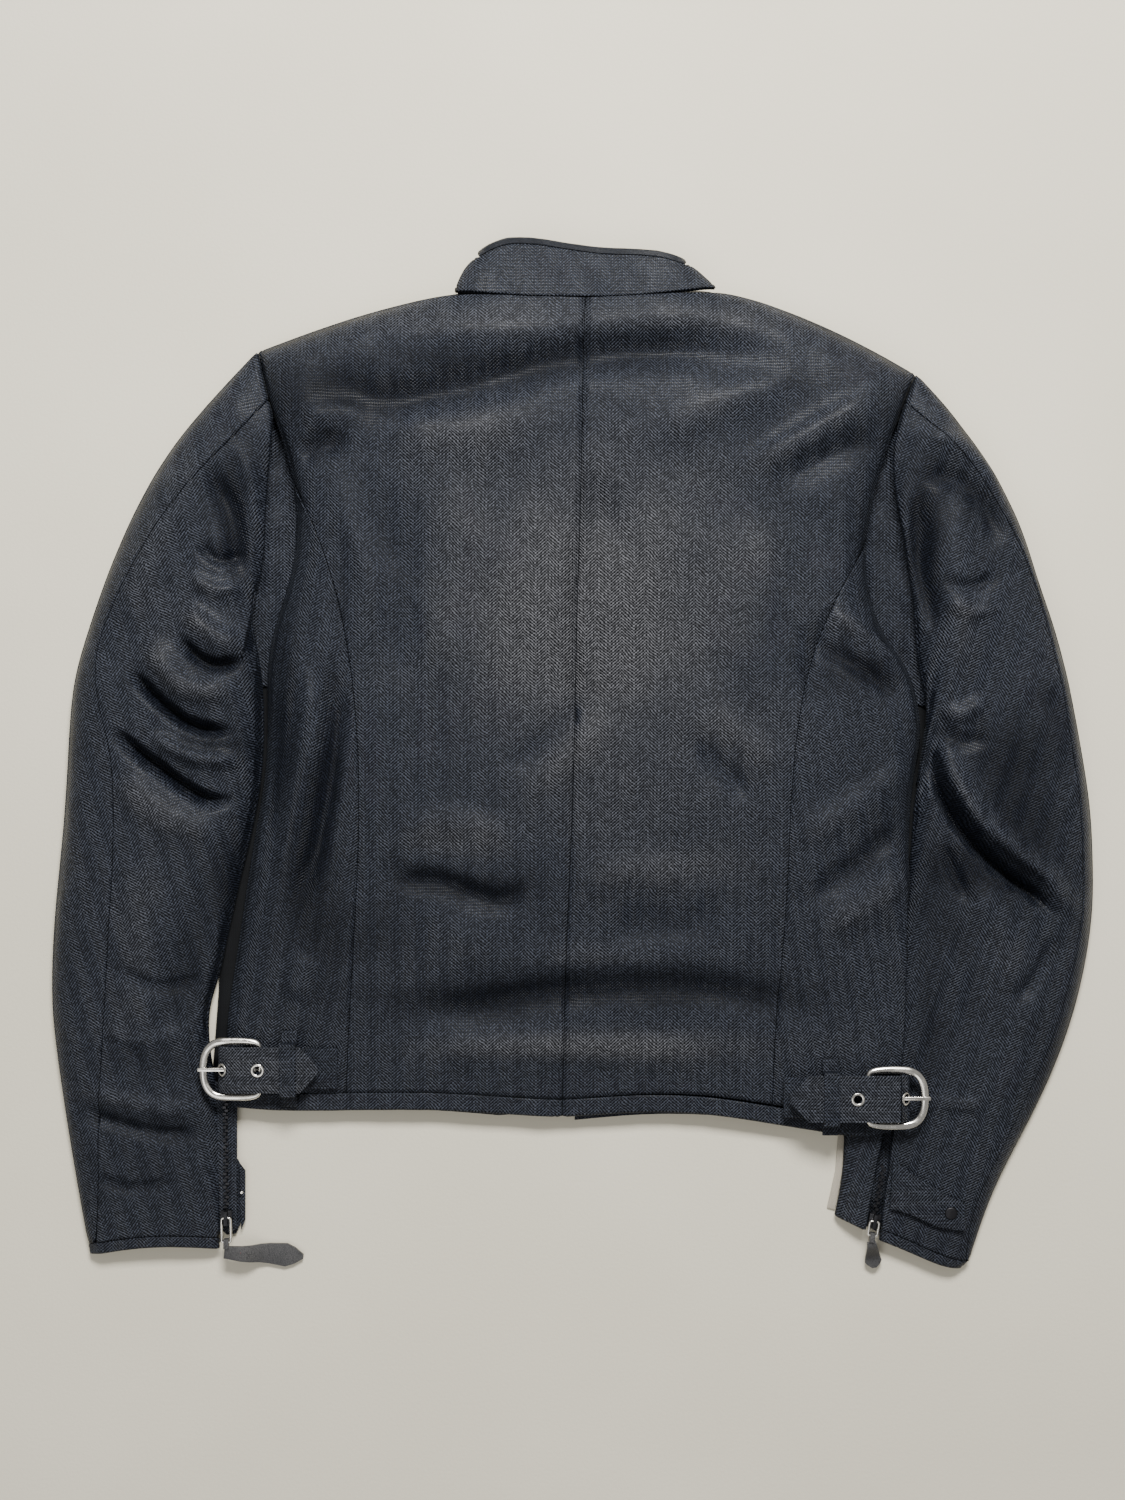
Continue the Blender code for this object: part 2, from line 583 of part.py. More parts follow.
def make_collar(cloth, lining, binding):
    neck = pattern(NECK)
    top = pattern(COLLAR_TOP)
    left, right = pattern(COLLAR_LEFT), pattern(COLLAR_RIGHT)

    def plateau(p):
        y = p.y / JACKET_LENGTH
        return mix(COLLAR_HEIGHT, COLLAR_HEIGHT - 0.005, smoothstep(0.44, 0.50, y))

    outer = Folds(plateau, 0.014, (left, (0.014, 0.018)), (right, (0.014, 0.018)))
    drop = CLOTH + LAYER_GAP

    def lowered(line, amount):
        return [p - Vector((0, amount)) for p in line]

    shell_top = lowered(top, COLLAR_BINDING)
    base = lowered(neck, -0.0006)
    sides = (at_fractions(left, [mix(0.12, 0.93, f) for f in even(20)]),
             at_fractions(right, [mix(0.12, 0.93, f) for f in even(20)]))
    rows = coons(shell_top, base, [shell_top[0]] + sides[0][4:] + [base[0]],
                 [shell_top[-1]] + sides[1][4:] + [base[-1]], near_both(12), even(4))
    sheet("collar_shell", rows, outer, CLOTH, cloth)
    sheet("collar_binding",
          coons(top, shell_top, [top[0], shell_top[0]], [top[-1], shell_top[-1]], near_both(12), even(1)),
          outer, CLOTH, binding)

    def inside(line, share):
        middle = Vector(((left[0].x + right[0].x) / 2, base[20].y + 0.015))
        return [p.lerp(middle, share) for p in line]

    rows = coons(inside(top, 0.06), inside(base, 0.06), inside([top[0], base[0]], 0.06),
                 inside([top[-1], base[-1]], 0.06), near_both(10), even(3))
    sheet("collar_lining", rows, lambda p: outer(p) - drop - 0.0006, LINING, lining)

    level = 0.0085
    split = zip_x(base[20].y)
    for side, name in ((-1, "front_collar_left"), (1, "front_collar_right")):
        near = split + side * (FRONT_ZIP_CHAIN / 2 + 0.002)
        span = (base[0].x + 0.006, near) if side < 0 else (near, base[-1].x - 0.006)
        reach = (top[0].x + 0.004, near) if side < 0 else (near, top[-1].x - 0.004)
        lower, upper = between(base, *span), between(shell_top, *reach)
        sheet(name, coons(upper, lower, [upper[0], lower[0]], [upper[-1], lower[-1]], even(4), even(2)),
              lambda p: level, CLOTH, cloth, inset=0.002)


def make_inner_back(height, foam, lining):
    """The back protector and the lining that carries it, under the middle of the back."""
    under_shell = CLOTH + PROTECTOR_SLACK
    top_line = pattern(((-0.120, 0.330), (-0.060, 0.368), (0.010, 0.375), (0.080, 0.368), (0.140, 0.330)))
    low_line = pattern(((-0.085, -0.110), (-0.040, -0.135), (0.002, -0.140), (0.045, -0.135), (0.090, -0.110)))
    left = pattern(((-0.120, 0.330), (-0.165, 0.250), (-0.165, 0.120), (-0.130, 0.000), (-0.085, -0.110)))
    right = pattern(((0.140, 0.330), (0.185, 0.250), (0.180, 0.120), (0.140, 0.000), (0.090, -0.110)))
    sheet("back_protector", coons(top_line, low_line, left, right, even(6), even(14)),
          lambda p: height(p) - under_shell, PROTECTOR, foam)

    def lining_top(p):
        y = p.y / JACKET_LENGTH
        pocket = mix(PROTECTOR + 2 * LAYER_GAP + 0.0006, 0.0, smoothstep(-0.150, -0.230, y))
        return height(p) - under_shell - pocket

    top_line = pattern(((-0.185, 0.360), (-0.100, 0.392), (0.012, 0.400), (0.120, 0.392), (0.215, 0.360)))
    low_line = pattern(((-0.255, -0.285), (-0.130, -0.290), (0.000, -0.290), (0.090, -0.290), (0.170, -0.290)))
    left = pattern(((-0.185, 0.360), (-0.220, 0.260), (-0.228, 0.100), (-0.245, -0.100), (-0.255, -0.285)))
    right = pattern(((0.215, 0.360), (0.232, 0.260), (0.232, 0.100), (0.190, -0.100), (0.170, -0.290)))
    sheet("back_lining", coons(top_line, low_line, left, right, even(7), even(16)), lining_top, LINING, lining)


def make_front_zip(tape, metal):
    """The centre front zip: two tapes, the chain and its slider, closed up to the neck."""
    top_y, low_y = 0.430 * JACKET_LENGTH, -0.345 * JACKET_LENGTH
    level = CLOTH + LAYER_GAP
    half = FRONT_ZIP_CHAIN / 2

    def strip(name, inner, outer, low, high, made_of):
        a, b = Vector((zip_x(top_y), top_y)), Vector((zip_x(low_y), low_y))
        outline = [(a.x + inner, a.y), (a.x + outer, a.y), (b.x + outer, b.y), (b.x + inner, b.y)]
        return plate(name, outline, low, high, made_of)

    strip("front_zip_tape_left", -half - ZIP_TAPE, -half - LAYER_GAP, level, level + 0.0010, tape)
    strip("front_zip_tape_right", half + LAYER_GAP, half + ZIP_TAPE, level, level + 0.0010, tape)
    strip("front_zip_chain", -half, half, level - 0.0006, level + 0.0016, metal)

    direction = Vector((zip_x(low_y) - zip_x(top_y), low_y - top_y)).normalized()
    place = Vector((zip_x(top_y), top_y)) + direction * 0.012
    wide = half + 0.0004
    deep = level - 0.0010
    shell = 0.0006
    profile = [(-wide - shell, deep - shell), (wide + shell, deep - shell), (wide + shell, deep + 0.0004),
               (wide, deep + 0.0004), (wide, deep), (-wide, deep), (-wide, deep + 0.0004),
               (-wide - shell, deep + 0.0004)]
    across = Vector((-direction.y, direction.x))
    bm = extruded(profile, across, SLIDER_LENGTH / 2, (*place, 0))
    add_object("front_zip_slider", bm, metal, (*place, deep))
    pull_top = deep - shell - 0.0003
    start = place + direction * 0.002
    outline = []
    for along, out in ((0, 0.002), (0.004, 0.003), (0.024, 0.0036), (0.029, 0.0022)):
        outline.append(start + direction * along + across * out)
    for along, out in ((0.029, 0.0022), (0.024, 0.0036), (0.004, 0.003), (0, 0.002)):
        outline.append(start + direction * along - across * out)
    plate("front_zip_pull", outline, pull_top - 0.0007, pull_top, metal, (*start, pull_top))


# ---- waist straps and buckles -------------------------------------------------------------------
def arc(centre, radius, start, end, count):
    """Points on an arc in a two-axis outline, with angles in degrees."""
    turns = [math.radians(mix(start, end, k / count)) for k in range(count + 1)]
    return [(centre[0] + radius * math.cos(t), centre[1] + radius * math.sin(t)) for t in turns]


def buckle_place(side):
    """The bar of a side's buckle, set so that its strap bends down just past the jacket's side."""
    edge = pattern(SIDE_LEFT if side < 0 else SIDE_RIGHT)
    y = BUCKLE_LEVEL[side] * JACKET_LENGTH
    upper, lower = next((a, b) for a, b in zip(edge, edge[1:]) if b.y <= y)
    x = mix(upper.x, lower.x, (y - upper.y) / (lower.y - upper.y))
    return Vector((x + side * (STRAP_OVERHANG[side] - STRAP_END), y))


def highest_cloth(height, base, side, tip):
    """The highest cloth under a waist strap and the feet of its loop."""
    half = STRAP_WIDTH / 2 + LOOP_FOOT
    places = [base + Vector((side * mix(tip, 0, a), mix(-half, half, b))) for a in even(12) for b in even(12)]
    return max(height(p) for p in places)


def make_buckle(side, word, height, tip, loop_at, anchor, free_at, cloth, metal):
    """One waist strap with its buckle. Distances run from the buckle's bar, outwards being positive."""
    base = buckle_place(side)
    level = highest_cloth(height, base, side, tip) + STRAP_LIFT[side]
    out = Vector((float(side), 0.0))
    across = Vector((-out.y, out.x))

    def world(along, aside, z):
        return Vector((*(base + out * along + across * aside), z))

    bar_z = level + BUCKLE_BAR_RISE
    wrap = BUCKLE_BAR / 2 + HARDWARE_GAP
    strap_low = bar_z + wrap + CHAPE + HARDWARE_GAP
    strap_high = strap_low + STRAP
    inner_half = STRAP_WIDTH / 2 + BUCKLE_MARGIN

    # frame: a bar, two straight arms and a half-round end
    width, thick = BUCKLE_SECTION
    half = inner_half + width / 2
    straight = STRAP_END - 0.004
    bow = BUCKLE_LENGTH - width / 2 - straight
    path, widths = [], []
    for k in range(7):
        path.append(world(0, mix(-half, half, k / 6), bar_z))
        widths.append(BUCKLE_BAR if 0 < k < 6 else width)
    for angle in [90, 72, 60, 48, 36, 24, 12, 0, -12, -24, -36, -48, -60, -72, -90]:
        turn = math.radians(angle)
        reach = abs(math.cos(turn)) ** 0.8 * bow
        aside = math.copysign(abs(math.sin(turn)) ** 0.8, turn) * half
        path.append(world(straight + reach, aside, bar_z))
        widths.append(width)
    add_object(f"buckle_frame_{word}", swept_loop(path, widths, thick), metal)

    # chape: sewn to the back panel, wrapped round the bar
    low = level + LAYER_GAP
    ring = wrap + CHAPE
    outline = [(anchor, low), (-ring - 0.001, low)]
    outline += arc((0, bar_z), ring, -150, 120, 14)
    outline += arc((0, bar_z), wrap, 120, -165, 14)
    outline += [(-ring - 0.001, low + CHAPE), (anchor, low + CHAPE)]
    chape = add_object(f"buckle_chape_{word}",
                       extruded(outline, out, STRAP_WIDTH / 2 - 0.002, world(0, 0, 0)), cloth)
    slot = [(-ring - 0.0008, bar_z - 0.004), (ring + 0.002, bar_z - 0.004), (ring + 0.002, bar_z + 0.006),
            (-ring - 0.0008, bar_z + 0.006)]
    bm = extruded(slot, out, PRONG_WIDTH / 2 + HARDWARE_GAP, world(0, 0, 0))
    combine(chape, add_object("slot_cutter", bm, cloth), "DIFFERENCE")

    # prong: an open hook round the bar, then straight out to rest on the frame's end
    rest = bar_z + thick / 2 + HARDWARE_GAP
    hook = wrap + PRONG_HOOK
    outline = [(BUCKLE_LENGTH + 0.001, rest + 0.0006), (BUCKLE_LENGTH - 0.001, rest), (hook + 0.001, rest)]
    outline += arc((0, bar_z), hook, 5, -210, 12)
    outline += arc((0, bar_z), wrap, -210, 12, 12)
    outline += [(wrap + 0.0001, rest + 0.0002), (0.004, rest + PRONG), (BUCKLE_LENGTH - 0.001, rest + PRONG),
                (BUCKLE_LENGTH + 0.001, rest + 0.0014)]
    bm = extruded(outline, out, PRONG_WIDTH / 2, world(0, 0, 0))
    add_object(f"buckle_prong_{word}", bm, metal, world(0, 0, bar_z))

    # strap: over the bar from its pointed tip, then bent down round the jacket's side
    bend = STRAP_BEND
    end_low = level - STRAP_HANG
    outline = [(tip, strap_low), (STRAP_END - bend, strap_low), (STRAP_END, strap_low - bend),
               (STRAP_END, end_low), (STRAP_END + STRAP, end_low), (STRAP_END + STRAP, strap_low - bend + 0.0008),
               (STRAP_END - bend + 0.0008, strap_high), (tip, strap_high)]
    strap = add_object(f"waist_strap_{word}", extruded(outline, out, STRAP_WIDTH / 2, world(0, 0, 0)), cloth)
    reach = STRAP_WIDTH * 0.5
    for turn in (-1, 1):
        wedge = [(tip - 0.002, turn * (reach + 0.002)), (tip + reach * 0.9, turn * (reach + 0.002)),
                 (tip - 0.002, turn * 0.001)]
        corners = [world(a, b, 0) for a, b in wedge]
        cutter = plate("tip_cutter", corners, strap_low - 0.002, strap_high + 0.002, cloth)
        combine(strap, cutter, "DIFFERENCE")
    slope = Vector((out.x, out.y, 1.0)).normalized()
    diagonal = math.sqrt(0.5)
    sunk = strap_low - rest - PRONG / 2 + diagonal * (STRAP + EYELET + 0.0003) / 2
    hole = world(STRAP_END - bend + sunk + diagonal * STRAP / 2, 0, strap_low - sunk + diagonal * STRAP / 2)
    drill(strap, hole, slope, EYELET_HOLE / 2, STRAP * 4)
    drill(strap, world(free_at, 0, strap_low), (0, 0, 1), EYELET_HOLE / 2, STRAP * 4)

    # eyelets: flat metal rings on the strap's face
    ring_mid = (EYELET_OUTER + EYELET_HOLE) / 4
    ring_wide = (EYELET_OUTER - EYELET_HOLE) / 2
    flat = [Vector((ring_mid * math.cos(t), ring_mid * math.sin(t), 0))
            for t in [2 * math.pi * k / 18 for k in range(18)]]
    lift = EYELET / 2 + 0.0003
    places = ((f"strap_eyelet_{word}", world(free_at, 0, strap_high + lift), Vector((0, 0, 1))),
              (f"prong_eyelet_{word}", hole + slope * (STRAP / 2 + lift), slope))
    for name, centre, axis in places:
        bm = swept_loop(flat, [ring_wide] * 18, EYELET, 6)
        turn = Vector((0, 0, 1)).rotation_difference(axis).to_matrix().to_4x4()
        bmesh.ops.transform(bm, matrix=Matrix.Translation(centre) @ turn, verts=bm.verts)
        add_object(name, bm, metal, world(0, 0, bar_z) if name.startswith("prong") else centre)

    # belt loop: a keeper that bridges strap and chape
    side_in = STRAP_WIDTH / 2 + 0.0008
    foot = level + LAYER_GAP
    roof = strap_high + LAYER_GAP
    wall = LOOP_WALL
    end = side_in + LOOP_FOOT
    bridge = [(-end, foot), (-side_in, foot), (-side_in, roof), (side_in, roof), (side_in, foot),
              (end, foot), (end, foot + wall), (side_in + wall, foot + wall),
              (side_in + wall, roof + wall), (-side_in - wall, roof + wall), (-side_in - wall, foot + wall),
              (-end, foot + wall)]
    bm = extruded(bridge, across, LOOP_WIDTH / 2, world(loop_at, 0, 0))
    add_object(f"belt_loop_{word}", bm, cloth)


# ---- sleeves ------------------------------------------------------------------------------------
def make_sleeve(side, word, height, cloth, foam, band_cloth):
    """One sleeve's cloth and armour. Returns the shoulder point that it swings about."""
    if side < 0:
        outer, seam, inner = pattern(SLEEVE_OUTER_LEFT), pattern(SLEEVE_SEAM_LEFT), pattern(SLEEVE_INNER_LEFT)
        crown, top, cuff = pattern(SLEEVE_CROWN_LEFT), pattern(SLEEVE_TOP_LEFT), pattern(SLEEVE_CUFF_LEFT)
    else:
        outer, seam, inner = pattern(SLEEVE_OUTER_RIGHT), pattern(SLEEVE_SEAM_RIGHT), pattern(SLEEVE_INNER_RIGHT)
        crown, top, cuff = pattern(SLEEVE_CROWN_RIGHT), pattern(SLEEVE_TOP_RIGHT), pattern(SLEEVE_CUFF_RIGHT)
    seam = [top[0]] + seam[3:]
    pivot = (*outer[0], 0.0)
    apart = Vector((side * 0.0012, 0))
    crown, top = [p + apart for p in crown], [p + apart for p in top]
    outer[0], seam[0], inner[0] = outer[0] + apart, top[0], top[-1]

    def shorten(line):
        whole = sum((b - a).length for a, b in zip(line, line[1:]))
        return split_line(line, 1 - CUFF_BAND / whole)

    outer_line, outer_end = shorten(outer)
    seam_line, seam_end = shorten(seam)
    inner_line, inner_end = shorten(inner)
    seam_share = 0.07 if side < 0 else 0.03
    cuff_line = []
    for f in even(20):
        bow = at_fractions(cuff, [f])[0] - cuff[0].lerp(cuff[-1], f)
        cuff_line.append(outer_line[-1].lerp(inner_line[-1], f) + bow)
    outer_across, inner_across = near_start(3), near_both(7)
    cuff_outer = at_fractions(cuff_line, [seam_share * f for f in outer_across])
    cuff_inner = at_fractions(cuff_line, [mix(seam_share, 1, f) for f in inner_across])
    band_across = [0.0] + [mix(seam_share, 1, f) for f in inner_across]
    seam_line[-1] = cuff_outer[-1]
    shared = at_fractions(seam_line, even(20))

    sheet(f"sleeve_back_panel_{word}", coons(top, cuff_inner, shared, inner_line, inner_across, even(20)),
          height, CLOTH, cloth, origin=pivot)
    sheet(f"sleeve_outer_panel_{word}",
          coons(crown, cuff_outer, outer_line, shared, outer_across, even(20)), height, CLOTH, cloth,
          origin=pivot)
    sheet(f"cuff_band_{word}",
          coons(cuff_line, cuff, outer_end, inner_end, band_across, even(1)), height, CLOTH, band_cloth,
          origin=pivot)

    inset = 0.0025
    under_cuff = cuff if side < 0 else pattern(SLEEVE_MOUTH_RIGHT)
    under_inner = inner if side < 0 else pattern(SLEEVE_EDGE_RIGHT)
    sheet(f"sleeve_under_panel_{word}",
          coons(crown + top[1:], under_cuff, outer, under_inner, even(5), even(16)), lambda p: CLOTH, CLOTH,
          cloth, inset=inset, origin=pivot)
    if side > 0:
        left, right, end = pattern(CUFF_GUSSET_LEFT), pattern(CUFF_GUSSET_RIGHT), pattern(CUFF_GUSSET_END)
        sheet("cuff_gusset_right", coons([left[0], right[0]], end, left, right, near_start(4), even(9)),
              height, CLOTH, cloth, origin=pivot)

    lower = CLOTH + PROTECTOR_SLACK
    elbow = ((-0.396, -0.020), (-0.396, -0.150)) if side < 0 else ((0.405, -0.020), (0.430, -0.145))
    shoulder = ((-0.352, 0.275), (-0.362, 0.190)) if side < 0 else ((0.357, 0.270), (0.386, 0.190))
    for name, (start, end), wide in (("elbow_protector", elbow, 0.058), ("shoulder_protector", shoulder, 0.040)):
        a, b = shares(start), shares(end)
        run = (b - a).normalized()
        aside = Vector((-run.y, run.x)) * wide / 2
        middle = (a + b) / 2
        rows = coons([a - aside * 0.7, a + run * -0.006, a + aside * 0.7],
                     [b - aside * 0.7, b + run * 0.006, b + aside * 0.7],
                     [a - aside * 0.7, middle - aside, b - aside * 0.7],
                     [a + aside * 0.7, middle + aside, b + aside * 0.7], even(4), even(6))
        sheet(f"{name}_{word}", rows, lambda p: height(p) - lower, ARMOUR, foam, origin=pivot)
    return pivot


def make_cuff_zip(side, word, pivot, tape, metal, leather):
    """The zip chain along the cuff opening, its slider, and the wire ring and tab that pull it."""
    place = shares(CUFF_ZIP_LEFT if side < 0 else CUFF_ZIP_RIGHT)
    up_arm = Vector((-0.015, 1.0)).normalized() if side < 0 else Vector((0.17, 1.0)).normalized()
    aside = Vector((up_arm.y, -up_arm.x))
    low = CUFF_ZIP_LEVEL[side]
    half = CUFF_ZIP_CHAIN / 2

    def world(along, out, z):
        return Vector((*(place + up_arm * along + aside * out), z))

    length = CUFF_ZIP_LENGTH if side < 0 else CUFF_ZIP_LENGTH * RIGHT_ZIP_SHARE
    outline = [world(-0.006, -half, 0), world(-0.006, half, 0), world(length, half, 0), world(length, -half, 0)]
    plate(f"cuff_zip_chain_{word}", outline, low, low + ZIP_CHAIN_HEIGHT, tape, pivot)

    clear = 0.0004
    top = low + ZIP_CHAIN_HEIGHT + clear
    wide = half + clear
    tower = PULL_WIRE + 0.0022
    skirt = low + 0.0004
    profile = [(-wide - SLIDER_WALL, skirt), (-wide, skirt), (-wide, top), (wide, top), (wide, skirt),
               (wide + SLIDER_WALL, skirt), (wide + SLIDER_WALL, top + SLIDER_WALL),
               (SLIDER_TOWER / 2, top + SLIDER_WALL), (SLIDER_TOWER / 2, top + SLIDER_WALL + tower),
               (-SLIDER_TOWER / 2, top + SLIDER_WALL + tower), (-SLIDER_TOWER / 2, top + SLIDER_WALL),
               (-wide - SLIDER_WALL, top + SLIDER_WALL)]
    slider = add_object(f"cuff_zip_slider_{word}", extruded(profile, aside, SLIDER_LENGTH / 2, world(0, 0, 0)),
                        metal, world(0, 0, low))
    pin_z = top + SLIDER_WALL + 0.0003 + PULL_WIRE / 2
    drill(slider, world(0, 0, pin_z), (*aside, 0), PULL_WIRE / 2 + 0.00035, 0.01)

    # wire ring: its bar sits in the slider's tower, and its far end carries the tab
    ring_long = 0.0175 if side < 0 else 0.0105
    half_ring = PULL_RING_WIDTH / 2 - PULL_WIRE / 2
    corner = 0.0015
    near, wide_side = -ring_long + corner, half_ring - corner
    corners = (((-wide_side, near), 180), ((wide_side, near), 270), ((wide_side, -corner), 0),
               ((-wide_side, -corner), 90))
    path = []
    for centre, start in corners:
        for a, b in arc(centre, corner, start, start + 90, 3):
            path.append(world(b, a, pin_z))
    add_object(f"cuff_pull_ring_{word}", swept_loop(path, [PULL_WIRE] * len(path), PULL_WIRE),
               metal, world(0, 0, pin_z))

    # leather tab, folded round the ring's far bar
    far = -ring_long
    eye = PULL_WIRE / 2 + 0.0004
    loop_half = half_ring - PULL_WIRE / 2 - 0.0006
    rise = eye + TAB_WALL
    block = [(far + rise, pin_z - rise), (far + rise, pin_z + rise),
             (far - eye - 0.0030, pin_z + rise), (far - eye - 0.0030, pin_z - rise)]
    tab = add_object(f"cuff_pull_tab_{word}",
                     extruded(block, up_arm, loop_half, world(0, 0, 0)), leather, world(0, 0, pin_z))
    drill(tab, world(far, 0, pin_z), (*aside, 0), eye, 0.02, 12)
    start = world(far - eye - 0.0028, 0, 0)
    if side < 0:
        run, narrow, broad, long = Vector((0.99, -0.10)).normalized(), 0.0085, 0.0170, 0.056
        start = start + Vector((-0.0015, -0.0030, 0))
        drop_from, drop_to, floor_level = 0.013, 0.030, 0.0006
    else:
        run, narrow, broad, long = Vector((0.17, -1.0)).normalized(), 0.0060, 0.0125, 0.0215
        drop_from, drop_to, floor_level = 0.002, 0.016, 0.0030
    across = Vector((-run.y, run.x))
    begin = Vector((start.x, start.y))
    steps = even(9)
    widths = [mix(narrow, broad, min(f / 0.82, 1.0)) if f <= 0.82 else mix(broad, 0.003, (f - 0.82) / 0.18)
              for f in steps]
    rows = [[begin + run * long * f + across * w * s for s in (-0.5, 0.0, 0.5)] for f, w in zip(steps, widths)]
    high = pin_z + PULL_TAB / 2

    def droop(p):
        along = (p - begin).dot(run)
        return mix(high, floor_level + PULL_TAB, smoothstep(drop_from, drop_to, along))

    body = sheet("tab_body", rows, droop, PULL_TAB, leather, inset=0.0)
    combine(tab, body, "UNION")


def make_cuff_strap(side, word, cloth, metal):
    """The cuff strap: hanging free at the left cuff, closed over the right one, each with its snap."""
    if side < 0:
        outline = [shares(p) for p in ((-0.3215, -0.396), (-0.3155, -0.404), (-0.3155, -0.452), (-0.3195, -0.462))]
        low = 0.0030
        hinge = shares((-0.3215, -0.43))
        snap_at = shares((-0.3188, -0.425))
    else:
        outline = [shares(p) for p in ((0.3070, -0.3900), (0.3300, -0.4080), (0.3560, -0.4230),
                                       (0.3760, -0.4330), (0.3760, -0.4600), (0.3500, -0.4560),
                                       (0.3220, -0.4430), (0.3035, -0.4380))]
        low = 0.0136
        hinge = shares((0.3052, -0.4140))
        snap_at = shares((0.3620, -0.4420))
    plate(f"cuff_strap_{word}", outline, low, low + CUFF_STRAP, cloth, (*hinge, low))
    bm = bmesh.new()
    broad, narrow = (0.0048, 0.0040) if side > 0 else (0.0014, 0.0011)
    bmesh.ops.create_cone(bm, cap_ends=True, segments=16, radius1=broad, radius2=narrow, depth=SNAP_HEIGHT)
    middle = low + CUFF_STRAP + 0.0003 + SNAP_HEIGHT / 2
    bmesh.ops.translate(bm, verts=bm.verts, vec=(*snap_at, middle))
    add_object(f"cuff_snap_{word}", bm, metal, (*hinge, low))


def make_cuff_facing(pivot, cloth):
    """The light facing strip that shows along the right cuff's inner edge."""
    outline = [shares(p) for p in ((0.2570, -0.366), (0.2635, -0.366), (0.2610, -0.405), (0.2535, -0.443),
                                   (0.2460, -0.441), (0.2540, -0.405))]
    low = 0.0006
    plate("cuff_facing_right", outline, low, low + LINING, cloth, pivot)


def centre_on_origin():
    """Moves the whole jacket so that the middle of its outline is the origin."""
    corners = [o.matrix_world @ v.co for o in bpy.data.objects for v in o.data.vertices]
    middle_x = (min(c.x for c in corners) + max(c.x for c in corners)) / 2
    middle_y = (min(c.y for c in corners) + max(c.y for c in corners)) / 2
    for o in bpy.data.objects:
        o.location -= Vector((middle_x, middle_y, 0))


def main():
    for old in list(bpy.data.objects):
        bpy.data.objects.remove(old)
    cloth = material("navy_mesh", (0.030, 0.034, 0.044), 0.62)
    band = material("navy_band", (0.024, 0.027, 0.036), 0.55)
    lining = material("black_lining", (0.012, 0.013, 0.016), 0.70)
    foam = material("black_foam", (0.020, 0.020, 0.022), 0.85)
    tape = material("zip_tape", (0.015, 0.016, 0.020), 0.75)
    leather = material("grey_leather", (0.045, 0.045, 0.048), 0.50)
    nickel = material("nickel", (0.75, 0.74, 0.71), 0.22, 1.0)
    facing = material("cream_facing", (0.62, 0.57, 0.48), 0.80)

    height = torso_height()
    make_back(height, cloth, band)
    make_front(cloth)
    make_collar(cloth, lining, band)
    make_inner_back(height, foam, lining)
    make_front_zip(tape, nickel)
    make_buckle(-1, "left", height, -0.0420, -0.0205, -0.0550, 0.0010, cloth, nickel)
    make_buckle(1, "right", height, -0.0560, -0.0265, -0.0600, -0.0080, cloth, nickel)
    for side, word in ((-1, "left"), (1, "right")):
        pivot = make_sleeve(side, word, sleeve_height(side), cloth, foam, band)
        make_cuff_zip(side, word, pivot, tape, nickel, leather)
        make_cuff_strap(side, word, cloth, nickel)
    make_cuff_facing(pivot, facing)
    bpy.context.view_layer.update()
    centre_on_origin()


main()
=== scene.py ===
"""Mesh-cloth riding jacket, laid out with its back up: the visible cloth, trims and metal.

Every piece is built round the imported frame. Lengths in metres, plan points of folds in millimetres.
"""
import json
import math
import bpy
import bmesh
import numpy as np
from mathutils import Matrix, Vector, noise
from mathutils.bvhtree import BVHTree
from mathutils.kdtree import KDTree


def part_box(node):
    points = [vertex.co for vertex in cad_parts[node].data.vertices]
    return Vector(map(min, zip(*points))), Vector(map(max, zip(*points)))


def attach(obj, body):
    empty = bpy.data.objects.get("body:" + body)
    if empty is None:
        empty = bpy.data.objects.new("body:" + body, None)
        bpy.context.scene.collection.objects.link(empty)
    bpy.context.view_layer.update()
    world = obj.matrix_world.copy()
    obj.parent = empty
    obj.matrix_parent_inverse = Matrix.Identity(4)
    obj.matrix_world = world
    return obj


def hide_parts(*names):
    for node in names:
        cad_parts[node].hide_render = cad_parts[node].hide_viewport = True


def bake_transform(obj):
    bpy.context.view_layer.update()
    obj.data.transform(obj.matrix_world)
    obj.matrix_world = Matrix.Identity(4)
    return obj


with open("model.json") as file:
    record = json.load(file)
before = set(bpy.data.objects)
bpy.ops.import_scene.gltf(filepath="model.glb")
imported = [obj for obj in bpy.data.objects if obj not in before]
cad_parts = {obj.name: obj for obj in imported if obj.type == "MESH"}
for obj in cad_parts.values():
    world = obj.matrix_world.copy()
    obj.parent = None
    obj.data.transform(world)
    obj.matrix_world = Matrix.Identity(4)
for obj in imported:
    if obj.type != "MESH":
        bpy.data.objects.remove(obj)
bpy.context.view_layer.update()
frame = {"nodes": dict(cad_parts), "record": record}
bpy.ops.object.select_all(action="DESELECT")

MM = 0.001
SHELL_WALL = 0.0013
LINING_WALL = 0.0008
FRONT_WALL = 0.0020
GUSSET_WALL = 0.0012
SEAM_REACH = 0.0026
KNIT_PITCH = 0.0025
BINDING_PITCH = 0.0009
STITCH_PITCH = 0.0031
TOOTH_PITCH = 0.0024
FOLD_DEPTH = 1.45

# Cloth this low lies flat on the layer below, and from the second height up it takes its folds in full
FLAT_BELOW, LOOSE_ABOVE = 0.0065, 0.016
LOWEST_FOLD = 0.0058
BROAD_SWELL, FINE_SWELL = 0.0019, 0.0009

# How far each ring of a panel's edge goes out and down, where it is sewn and where it is turned
SEWN_EDGE = ((-0.00005, -0.0007), (0.00000, -0.0015), (0.00020, -0.0030))
TURNED_EDGE = ((0.0009, -0.0008), (0.0013, -0.0023), (0.0006, -0.0041))

# A long narrow sheet is cut a little longer than it lies, and never narrower than this
STRIP_ALLOWANCE, LEAST_STRIP = 1.04, 0.0105

